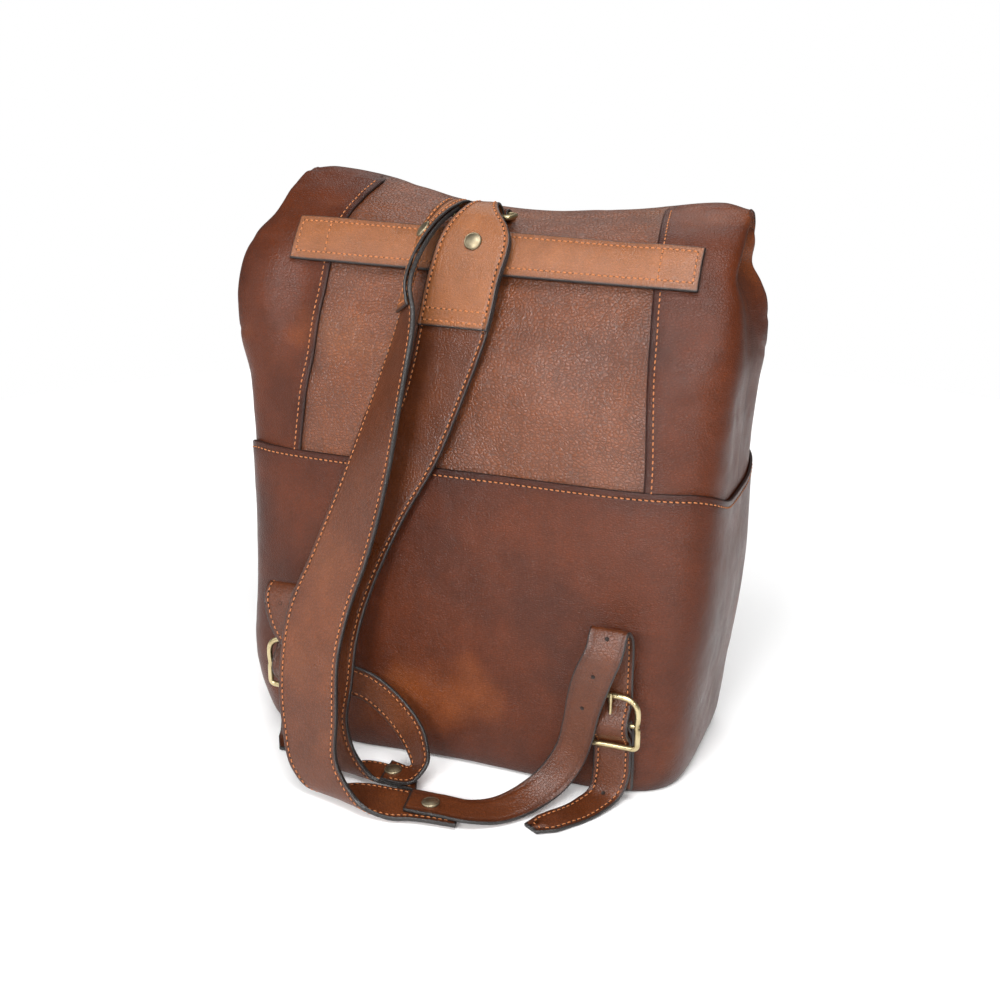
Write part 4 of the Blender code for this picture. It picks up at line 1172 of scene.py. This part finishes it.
def strap(name, ribbon, thickness, material, sewn=True, inset=STITCH_INSET):
    """A flat strap with rounded painted edges and a sewing groove."""
    half = np.linalg.norm(ribbon.side, axis=1)
    across = unit(ribbon.side)
    t = thickness / 2
    # from the edge inwards: distance from the edge, height, paint and shade
    profile = (
        (0.0000, 0.0, 1.0, 0.6),
        (0.0001, t * 0.55, 1.0, 0.6),
        (0.0004, t * 0.88, 1.0, 0.6),
        (0.0008, t, 0.85, 0.6),
        (0.0012, t, 0.0, 0.5),
        (inset - 0.0008, t, 0.0, 0.25),
        (inset, t - (GROOVE if sewn else 0.0), 0.0, 0.35),
        (inset + 0.0008, t, 0.0, 0.15),
        (inset + 0.0030, t * 1.04, 0.0, 0.0),
    )
    ring = [(-1, *row) for row in profile]
    ring += [(share, None, t * 1.08, 0.0, 0.0) for share in (-0.35, 0.0, 0.35)]
    ring += [(1, *row) for row in reversed(profile)]
    ring += [(1, s, -h, p, d) for s, h, p, d in profile[1:]]
    ring += [(share, None, -t, 0.0, 0.0) for share in (0.35, 0.0, -0.35)]
    ring += [(-1, s, -h, p, d) for s, h, p, d in reversed(profile[1:])]
    least = np.maximum(half - 0.0002, 0.0) * 0.05
    offsets = np.column_stack(
        [share * (half if s is None else np.maximum(half - s, least)) for share, s, *_ in ring]
    )
    rows, corners = offsets.shape
    heights, paint, shade = (np.tile([row[k] for row in ring], (rows, 1)) for k in (2, 3, 4))
    paint[[0, -1]] = 1.0
    grid = (
        ribbon.centre[:, None]
        + across[:, None] * offsets[..., None]
        + ribbon.out[:, None] * heights[..., None]
    )
    wave = 0.00025 * noise(grid, 0.016, 1.7) + 0.0001 * noise(grid, 0.006, 2.9)
    grid = grid + ribbon.out[:, None] * wave[..., None]
    caps = []
    for row, sign in ((0, -1), (rows - 1, 1)):
        along = unit(ribbon.centre[min(row + 1, rows - 1)] - ribbon.centre[max(row - 1, 0)])
        centre = ribbon.centre[row]
        inner = centre + (grid[row] - centre) * 0.97
        caps.append(inner + along * sign * min(thickness * 0.3, 0.0007))
    points = np.concatenate([caps[0][None], grid, caps[1][None]])
    values = {
        "paint": np.pad(paint, ((1, 1), (0, 0)), constant_values=1.0),
        "shade": np.pad(shade, ((1, 1), (0, 0)), mode="edge"),
    }
    item = piece(name, points, ring_faces(len(points), corners), material, values)
    return item


def sew_edges(ribbon, thickness, start, stop, both=True, ends=()):
    """Stitch lines along both edges of a strap, and across it at the given distances."""
    at = np.arange(start, stop, 0.002)
    centre, side, out = (ribbon.read(field, at) for field in ("centre", "side", "out"))
    half = np.linalg.norm(side, axis=1, keepdims=True)
    reach, out = unit(side) * (half - STITCH_INSET), unit(out)
    lines = []
    for face in (1, -1) if both else (1,):
        for sign in (-1, 1):
            lines.append((centre + reach * sign + out * face * thickness / 2, out * face))
    for place in ends:
        middle, way, up = ribbon.frame(place)
        reach = np.linalg.norm(ribbon.read("side", [place])[0]) - STITCH_INSET
        line = middle + way * np.linspace(-reach, reach, 20)[:, None] + up * thickness / 2
        lines.append((line, np.broadcast_to(up, line.shape)))
    return lines


def rivet(name, place, low, high):
    """A tubular rivet whose collar sits under low and whose domed head sits on high."""
    profile = (
        (0.0000, low - 0.0015),
        (0.0036, low - 0.0015),
        (0.0042, low - 0.0011),
        (0.0042, low - GAP * 0.5),
        (0.0015, low - GAP * 0.5),
        (0.0015, high + GAP * 0.5),
        (RIVET_HEAD, high + GAP * 0.5),
        (RIVET_HEAD, high + 0.0009),
        (RIVET_HEAD * 0.97, high + 0.0013),
        (RIVET_HEAD * 0.90, high + 0.0016),
        (RIVET_HEAD * 0.86, high + 0.0015),
        (RIVET_HEAD * 0.82, high + 0.0016),
        (RIVET_HEAD * 0.60, high + 0.0023),
        (RIVET_HEAD * 0.32, high + 0.0027),
        (0.0000, high + 0.0028),
    )
    return lathe(name, place, profile, material=RIVET_BRASS)


def eyelet(name, place, thickness):
    """A dark punched hole, as a shallow dished disc let into the strap's face: painted shade."""
    high = thickness / 2 * 1.08 + 0.0003
    profile = (
        (0.0, high - 0.0003),
        (HOLE_RADIUS * 0.8, high - 0.0002),
        (HOLE_RADIUS, high),
        (HOLE_RADIUS * 1.1, high - 0.0002),
        (HOLE_RADIUS * 1.1, high - 0.0009),
        (0.0, high - 0.0009),
    )
    item = lathe(name, place, profile, 24, HOLE_SHADE)
    return item


def buckle_place(origin, up, out):
    """A function that turns (across, up, out) in a buckle's frame into a place in the bag's."""
    up, out = np.array(up, float), np.array(out, float)
    across = np.cross(up, out)
    return lambda x, u, w: np.array(origin) + across * x + up * u + out * w


def rounded(points, radius, steps=8):
    """A closed outline with its corners rounded to a radius."""
    points = np.array(points, float)
    outline = []
    for k, corner in enumerate(points):
        before, after = points[k - 1] - corner, points[(k + 1) % len(points)] - corner
        reach = min(radius, np.linalg.norm(before) * 0.48, np.linalg.norm(after) * 0.48)
        start, stop = corner + unit(before) * reach, corner + unit(after) * reach
        for t in np.linspace(0, 1, steps):
            outline.append((1 - t) ** 2 * start + 2 * t * (1 - t) * corner + t**2 * stop)
    return np.array(outline)


def build_buckle(name, place, body, prong_body, prong_node, frame_node):
    """A wire buckle: its frame, its bar and the prong that turns on the bar."""
    half, bend = BUCKLE_HALF_WIDTH, BUCKLE_TOP * 0.3
    arch = []
    for degrees in np.linspace(0, 180, 40):
        c, s = math.cos(math.radians(degrees)), math.sin(math.radians(degrees))
        x = math.copysign(half * abs(c) ** BUCKLE_ARCH_POWER, c)
        arch.append((x, bend + (BUCKLE_TOP - bend) * abs(s) ** BUCKLE_ARCH_POWER, 0.0))
    square = [(half, 0, 0), (-half, 0, 0), (-half, BUCKLE_BOTTOM, 0), (half, BUCKLE_BOTTOM, 0)]
    corners = rounded(square, BUCKLE_CORNER)
    lower = [c for c in corners if c[1] < -0.001]
    outline = arch + sorted((c for c in lower if c[0] < 0), key=lambda c: (-c[1], c[0]))
    outline += sorted((c for c in lower if c[0] >= 0), key=lambda c: (c[1], c[0]))
    outward = unit(place(0, 0, 1) - place(0, 0, 0))
    frame_piece = tube(
        name + "_frame_wire", [place(*p) for p in outline], BUCKLE_WIRE, closed=True,
        plane=outward, flat=0.9,
    )
    bar_line = [place(x, 0, 0) for x in (-half, 0, half)]
    bar = tube(name + "_bar", bar_line, BAR_WIRE, plane=outward)
    hook = BAR_WIRE + GAP + PRONG_WIRE
    path = [(BUCKLE_TOP + 0.0020, BUCKLE_WIRE + GAP + PRONG_WIRE)]
    path.append((BUCKLE_TOP * 0.5, hook + 0.0002))
    path += [
        (hook * math.sin(math.radians(d)), hook * math.cos(math.radians(d)))
        for d in range(*PRONG_WRAP)
    ]
    points = hermite(np.array([place(0, u, w) for u, w in path]), np.linspace(0, len(path) - 1, 70))
    prong = tube(name + "_prong_wire", points, PRONG_WIRE, sides=16,
                 plane=unit(place(1, 0, 0) - place(0, 0, 0)))
    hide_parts(frame_node)
    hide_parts(prong_node)
    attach(frame_piece, body)
    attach(bar, body)
    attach(prong, prong_body)


def chape_pairs(place, front_leg, back_leg):
    """A chape's way down one leg, round the buckle's bar and down the other."""
    line = list(reversed(front_leg))
    radius = BAR_WIRE + GAP + CHAPE / 2
    for degrees in range(*CHAPE_WRAP):
        turn = math.radians(degrees)
        line.append((radius * math.sin(turn), radius * math.cos(turn)))
    line += back_leg
    return [(place(CHAPE_HALF, u, w), place(-CHAPE_HALF, u, w)) for u, w in line]


def split_chape(name, ribbon, place, body):
    """A chape as one strap, except round the bar, where two narrow bands flank the prong."""
    near = np.linalg.norm(ribbon.centre - place(0, 0, 0), axis=1) < BAND_REACH
    first, last = ribbon.run[near][0], ribbon.run[near][-1]
    clear = PRONG_WIRE + 2 * GAP
    made = [
        strap(name + "_front", ribbon.cut(0, first), CHAPE, STRAPS),
        strap(name + "_back", ribbon.cut(last, ribbon.run[-1]), CHAPE, STRAPS),
    ]
    band = ribbon.cut(first, last)
    half = np.linalg.norm(band.side, axis=1)[:, None]
    way = unit(band.side)
    middle = (half + clear) / 2
    width = (half - clear) / 2
    for sign, word in ((1, "left"), (-1, "right")):
        part = Ribbon(band.centre + way * middle * sign, way * width)
        made.append(strap(f"{name}_{word}_band", part, CHAPE, STRAPS, sewn=False, inset=BAND_INSET))
    for item in made:
        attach(item, body)
    return made[0]


def in_metres(pairs):
    """The same pairs of points, from millimetres to metres."""
    return [tuple(tuple(value / 1000 for value in point) for point in pair) for pair in pairs]


def threaded_pairs(place, side):
    """A strap's way through a buckle, over the bar and under the frame."""
    half = side * NARROW_HALF
    return [(place(-half, u, w), place(half, u, w)) for u, w in THREADED]


def bar_loop(bar, centre_x, half, wire_radius, thickness, wrap):
    """Pairs of points that take a strap round a bar, between two angles in degrees."""
    radius = wire_radius + GAP + thickness / 2
    pairs = []
    for degrees in np.linspace(*wrap, 8):
        turn = math.radians(degrees)
        y, z = bar[0] - radius * math.cos(turn), bar[1] + radius * math.sin(turn)
        pairs.append(((centre_x + half, y, z), (centre_x - half, y, z)))
    return pairs


def build_narrow_strap(key, path, tail, place, side):
    """The strap with holes, its buckled part and its tail. It starts on the end of the wide strap.
    """
    body = key + "_strap"
    pairs = in_metres(path) + threaded_pairs(place, side) + in_metres(tail)
    narrow = ribbon_through(pairs, STRAP_FRAMES)
    end = narrow.run[-1]
    near_end = np.clip(1 - (end - narrow.run) / TAIL_TAPER_LENGTH, 0, 1)
    narrow = narrow.scaled(1 - TAIL_TAPER * near_end)
    split = narrow.nearest(np.array(path[-1]).mean(0) / 1000)
    swinging = strap(key + "_narrow_leather", narrow.cut(0, split), NARROW_STRAP, STRAPS)
    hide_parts(body + "_narrow")
    held = strap(key + "_buckled_leather", narrow.cut(split, end), NARROW_STRAP, STRAPS)
    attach(held, "bag")
    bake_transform(swinging)
    lines = sew_edges(narrow, NARROW_STRAP, END_GAP, split, both=False)
    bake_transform(stitches(key + "_narrow_stitches", lines))
    last = end - END_GAP
    lines = sew_edges(narrow, NARROW_STRAP, split, last, both=False, ends=(last,))
    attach(stitches(key + "_buckled_stitches", lines), "bag")
    top = narrow.nearest(np.array(path[HOLE_PAIR]).mean(0) / 1000)
    for k, shift in enumerate(HOLE_SHIFTS):
        centre, across, out = narrow.frame(top + shift)
        for word, sign in (("outer", 1), ("inner", -1)):
            place_on = (centre, across, out * sign)
            item = eyelet(f"{key}_hole_{k + 1}_{word}_face", place_on, NARROW_STRAP)
            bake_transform(item)
    centre, across, out = narrow.frame(end - TAIL_HOLE_AT)
    for word, sign in (("outer", 1), ("inner", -1)):
        item = eyelet(f"{key}_tail_hole_{word}_face", (centre, across, out * sign), NARROW_STRAP)
        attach(item, "bag")


def build_shoulder_strap(key, path, narrow_path, tail, neck_x, side):
    """One wide strap with its patch and rivets, its narrow strap and its buckle."""
    body = key + "_strap"
    settled = [[(x, y, z + 1000 * rise) for x, y, z in pair]
               for pair, rise in zip(path, NECK_RISE + (0.0,) * len(path))]
    wide = ribbon_through(in_metres(settled), STRAP_FRAMES)
    length = wide.run[-1]
    band = wide.cut(NECK_LENGTH, length)
    wide_piece = strap(key + "_wide_leather", band, WIDE_STRAP, STRAPS)
    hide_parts(body + "_wide")
    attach(wide_piece, body)
    last = length - END_GAP
    lines = sew_edges(wide, WIDE_STRAP, PATCH_LENGTH * 0.5, last, ends=(last,))
    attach(stitches(key + "_wide_stitches", lines), body)

    loop = bar_loop(RING_LOWER_BAR, neck_x, NECK_HALF, RING_WIRE + LOOP_SLACK, PATCH, NECK_WRAP)
    over = wide.cut(NECK_LENGTH * 2, PATCH_LENGTH, WIDE_STRAP / 2 + 2 * GAP + PATCH / 2)
    keep = np.concatenate([np.arange(0, len(over.run) - 1, 6), [len(over.run) - 1]])
    over_pairs = list(zip((over.centre - over.side)[keep], (over.centre + over.side)[keep]))
    patch = ribbon_through(loop + over_pairs, PATCH_FRAMES)
    patch_piece = strap(key + "_patch_leather", patch, PATCH, TAN)
    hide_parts(body + "_patch")
    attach(patch_piece, body)
    total = patch.run[-1]
    ends = [total - seam for seam in PATCH_SEAMS]
    lines = sew_edges(patch, PATCH, 0.012, total - 0.003, both=False, ends=ends)
    sewing = stitches(key + "_patch_stitches", lines, radius=HEAVY_STITCH_RADIUS)
    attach(sewing, body)

    place = buckle_place(BUCKLES[key], (0, 0, 1), (0, 1, 0))
    build_narrow_strap(key, narrow_path, tail, place, side)
    top_place = wide.frame(TOP_RIVET_AT)
    high = WIDE_STRAP / 2 + 2 * GAP + PATCH
    item = rivet(key + "_top_rivet_brass", top_place, -WIDE_STRAP / 2, high)
    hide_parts(body + "_top_rivet")
    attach(item, body)
    centre, across, out = wide.frame(length - END_RIVET_AT)
    item = rivet(
        key + "_end_rivet_brass", (centre, across, -out), -WIDE_STRAP / 2,
        WIDE_STRAP / 2 + GAP + NARROW_STRAP,
    )
    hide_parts(body + "_end_rivet")
    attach(item, body)

    build_buckle(
        key + "_buckle", place, "bag", key + "_prong", key + "_buckle_prong", key + "_buckle_frame"
    )
    chape = ribbon_through(chape_pairs(place, FRONT_LEG, BACK_LEG), CHAPE_FRAMES)
    front = split_chape(key + "_chape", chape, place, "bag")
    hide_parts(key + "_buckle_chape")
    lines = sew_edges(chape, CHAPE, 0.003, 0.040, both=False)
    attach(stitches(key + "_chape_stitches", lines), "bag")


def build_ring():
    """The brass ring and the leather tab that holds it."""
    low, high = np.array(RING_LOWER_BAR), np.array(RING_UPPER_BAR)
    half, x = RING_HALF_LENGTH, RING_CENTRE_X
    corners = [(x - half, *low), (x + half, *low), (x + half, *high), (x - half, *high)]
    outline = rounded(corners, RING_CORNER)
    item = tube("ring_brass", outline, RING_WIRE, closed=True)
    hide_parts("top_ring")
    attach(item, "bag")
    half = RING_TAB_HALF
    upper = [((x + half, y, z), (x - half, y, z)) for y, z in TAB_UPPER_LEG]
    lower = [((x + half, y, z), (x - half, y, z)) for y, z in TAB_LOWER_LEG]
    loop = bar_loop(RING_UPPER_BAR, x, half, RING_WIRE, TAB, TAB_WRAP)
    ribbon = ribbon_through(upper + loop + lower, TAB_FRAMES)
    tab = strap("ring_tab_leather", ribbon, TAB, STRAPS)
    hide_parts("ring_tab")
    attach(tab, "bag")


# ---- Closure -----------------------------------------------------------------------------


def mouth_line(lift):
    """Points up the middle of the mouth, from its lower edge, lifted off its face."""
    drop = station(THROAT)[7] + SETTLE
    line = np.array(MOUTH_SKIN)
    normals = unit(np.gradient(line, axis=0)[:, ::-1] * (-1, 1))
    points = [
        (y - lift * normal[0], z - lift * normal[1] - drop * weight)
        for (y, z), normal, weight in zip(line, normals, MOUTH_SINK)
    ]
    return points[:0:-1]


def build_closure():
    """The front closure: strap and buckle on the mouth, and the tab with its snap."""
    place = buckle_place(CLOSURE_BUCKLE, (0, 0, -1), (0, -1, 0))
    pairs = chape_pairs(place, FRONT_LEG[:-1], BACK_LEG[:-1])
    for y, z in mouth_line(CLOSURE_LIFT + CHAPE / 2)[:-2]:
        edges = [(x, y, z) for x in (-CHAPE_HALF, CHAPE_HALF)]
        pairs.append(edges if pairs[0][0][0] < 0 else edges[::-1])
    ribbon = ribbon_through(pairs, CLOSURE_STRAP_FRAMES)
    front = split_chape("closure_strap_leather", ribbon, place, "mouth")
    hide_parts("closure_strap")
    last = ribbon.run[-1] - END_GAP
    lines = sew_edges(ribbon, CHAPE, 0.050, last, both=False, ends=(last,))
    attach(stitches("closure_strap_stitches", lines), "mouth")
    build_buckle(
        "closure_buckle", place, "mouth", "closure_prong", "closure_buckle_prong",
        "closure_buckle_frame",
    )
    lower = [(CLOSURE_BUCKLE[2] - z, CLOSURE_BUCKLE[1] - y) for y, z in CLOSURE_TAB_LINE]
    tab_pairs = [(place(-NARROW_HALF, u, w), place(NARROW_HALF, u, w)) for u, w in lower]
    ribbon = ribbon_through(tab_pairs + threaded_pairs(place, 1), CLOSURE_TAB_FRAMES)
    tab = strap("closure_tab_leather", ribbon, NARROW_STRAP, STRAPS)
    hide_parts("closure_tab")
    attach(tab, "mouth")
    last = ribbon.run[-1] - END_GAP
    lines = sew_edges(ribbon, NARROW_STRAP, END_GAP, last, both=False, ends=(END_GAP,))
    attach(stitches("closure_tab_stitches", lines), "mouth")
    snap = ((0.0, SNAP_Y, SNAP_HEIGHT), (1.0, 0.0, 0.0), (0.0, -1.0, 0.0))
    high = NARROW_STRAP / 2 + GAP
    cap = lathe(
        "closure_snap_brass",
        snap,
        (
            (0.0, -high - 0.0012),
            (0.0032, -high - 0.0012),
            (0.0032, -high - 0.0026),
            (SNAP_RADIUS, -high - 0.0026),
            (SNAP_RADIUS, -high),
            (0.0015, -high),
            (0.0015, high),
            (SNAP_RADIUS, high),
            (SNAP_RADIUS, high + 0.0007),
            (SNAP_RADIUS * 0.94, high + 0.0012),
            (SNAP_RADIUS * 0.86, high + 0.0011),
            (SNAP_RADIUS * 0.80, high + 0.0014),
            (SNAP_RADIUS * 0.40, high + 0.0019),
            (0.0, high + 0.0020),
        ),
    )
    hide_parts("closure_snap_cap")
    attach(cap, "mouth")


# ---- Stage -------------------------------------------------------------------------------


def build_stage():
    """The pale floor and the studio's even light."""
    mesh = bpy.data.meshes.new("floor")
    turns = np.linspace(0, 2 * math.pi, 64, endpoint=False)
    rim = [(FLOOR_RADIUS * math.cos(a), FLOOR_RADIUS * math.sin(a), 0.0) for a in turns]
    mesh.from_pydata(rim, [], [tuple(range(len(rim)))])
    floor = bpy.data.objects.new("floor", mesh)
    bpy.context.scene.collection.objects.link(floor)
    material = bpy.data.materials.new("pale_floor")
    material.use_nodes = True
    shader = material.node_tree.nodes["Principled BSDF"]
    shader.inputs["Base Color"].default_value = (0.95, 0.95, 0.95, 1.0)
    shader.inputs["Emission Color"].default_value = (1.0, 1.0, 1.0, 1.0)
    tree = material.node_tree
    place = tree.nodes.new("ShaderNodeTexCoord")
    away = tree.nodes.new("ShaderNodeVectorMath")
    away.operation = "LENGTH"
    tree.links.new(place.outputs["Object"], away.inputs[0])
    glow = tree.nodes.new("ShaderNodeMapRange")
    tree.links.new(away.outputs["Value"], glow.inputs["Value"])
    for socket, value in zip(("From Min", "From Max", "To Min", "To Max"), FLOOR_GLOW):
        glow.inputs[socket].default_value = value
    tree.links.new(glow.outputs["Result"], shader.inputs["Emission Strength"])
    shader.inputs["Roughness"].default_value = 0.7
    shader.inputs["Specular IOR Level"].default_value = 0.2
    mesh.materials.append(material)

    world = bpy.data.worlds.new("studio")
    world.use_nodes = True
    tree = world.node_tree
    background = tree.nodes["Background"]
    background.inputs["Color"].default_value = (1.0, 1.0, 1.0, 1.0)
    path = tree.nodes.new("ShaderNodeLightPath")
    strength = AMBIENT
    for ray, value in (("Is Glossy Ray", GLOSSY_AMBIENT), ("Is Camera Ray", BACKDROP)):
        pick = tree.nodes.new("ShaderNodeMix")
        tree.links.new(path.outputs[ray], pick.inputs["Factor"])
        if isinstance(strength, float):
            pick.inputs["A"].default_value = strength
        else:
            tree.links.new(strength, pick.inputs["A"])
        pick.inputs["B"].default_value = value
        strength = pick.outputs["Result"]
    tree.links.new(strength, background.inputs["Strength"])
    bpy.context.scene.world = world
    bpy.context.scene.view_settings.view_transform = "Standard"


def build_lights():
    for name, place, height, size, power in LIGHTS:
        light = bpy.data.lights.new(name, "AREA")
        light.shape = "RECTANGLE"
        light.size, light.size_y = size
        light.energy = power
        item = bpy.data.objects.new(name, light)
        item.location = place
        aim = Vector((0, 0, height)) - Vector(place)
        item.rotation_euler = aim.to_track_quat("-Z", "Y").to_euler()
        bpy.context.scene.collection.objects.link(item)


def build_camera():
    turn, lift = math.radians(CAMERA_TURN), math.radians(CAMERA_LIFT)
    toward = Vector(
        (-math.sin(turn) * math.cos(lift), math.cos(turn) * math.cos(lift), math.sin(lift))
    )
    data = bpy.data.cameras.new("camera")
    data.lens = CAMERA_LENS
    data.sensor_width = CAMERA_SENSOR
    camera = bpy.data.objects.new("camera", data)
    camera.location = Vector(CAMERA_AIM) + toward * CAMERA_DISTANCE
    camera.rotation_euler = (-toward).to_track_quat("-Z", "Y").to_euler()
    bpy.context.scene.collection.objects.link(camera)
    bpy.context.scene.camera = camera


def dress_remaining_nodes():
    """Finishes for the CAD's own nodes that stay in view."""
    for name, material in (
        ("base_panel", BODY),
        ("closure_snap_stud", BRASS),
        ("closure_stud_patch", STRAPS),
    ):
        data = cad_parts[name].data
        data.materials.clear()
        data.materials.append(material)


build_stage()
build_camera()
build_lights()
build_skins()
build_strip()
build_ring()
build_shoulder_strap(
    "outer", OUTER_WIDE, OUTER_NARROW, OUTER_TAIL, RING_CENTRE_X + NECK_SPREAD, 1
)
build_shoulder_strap(
    "inner", INNER_WIDE, INNER_NARROW, INNER_TAIL, RING_CENTRE_X - NECK_SPREAD, -1
)
build_closure()
dress_remaining_nodes()
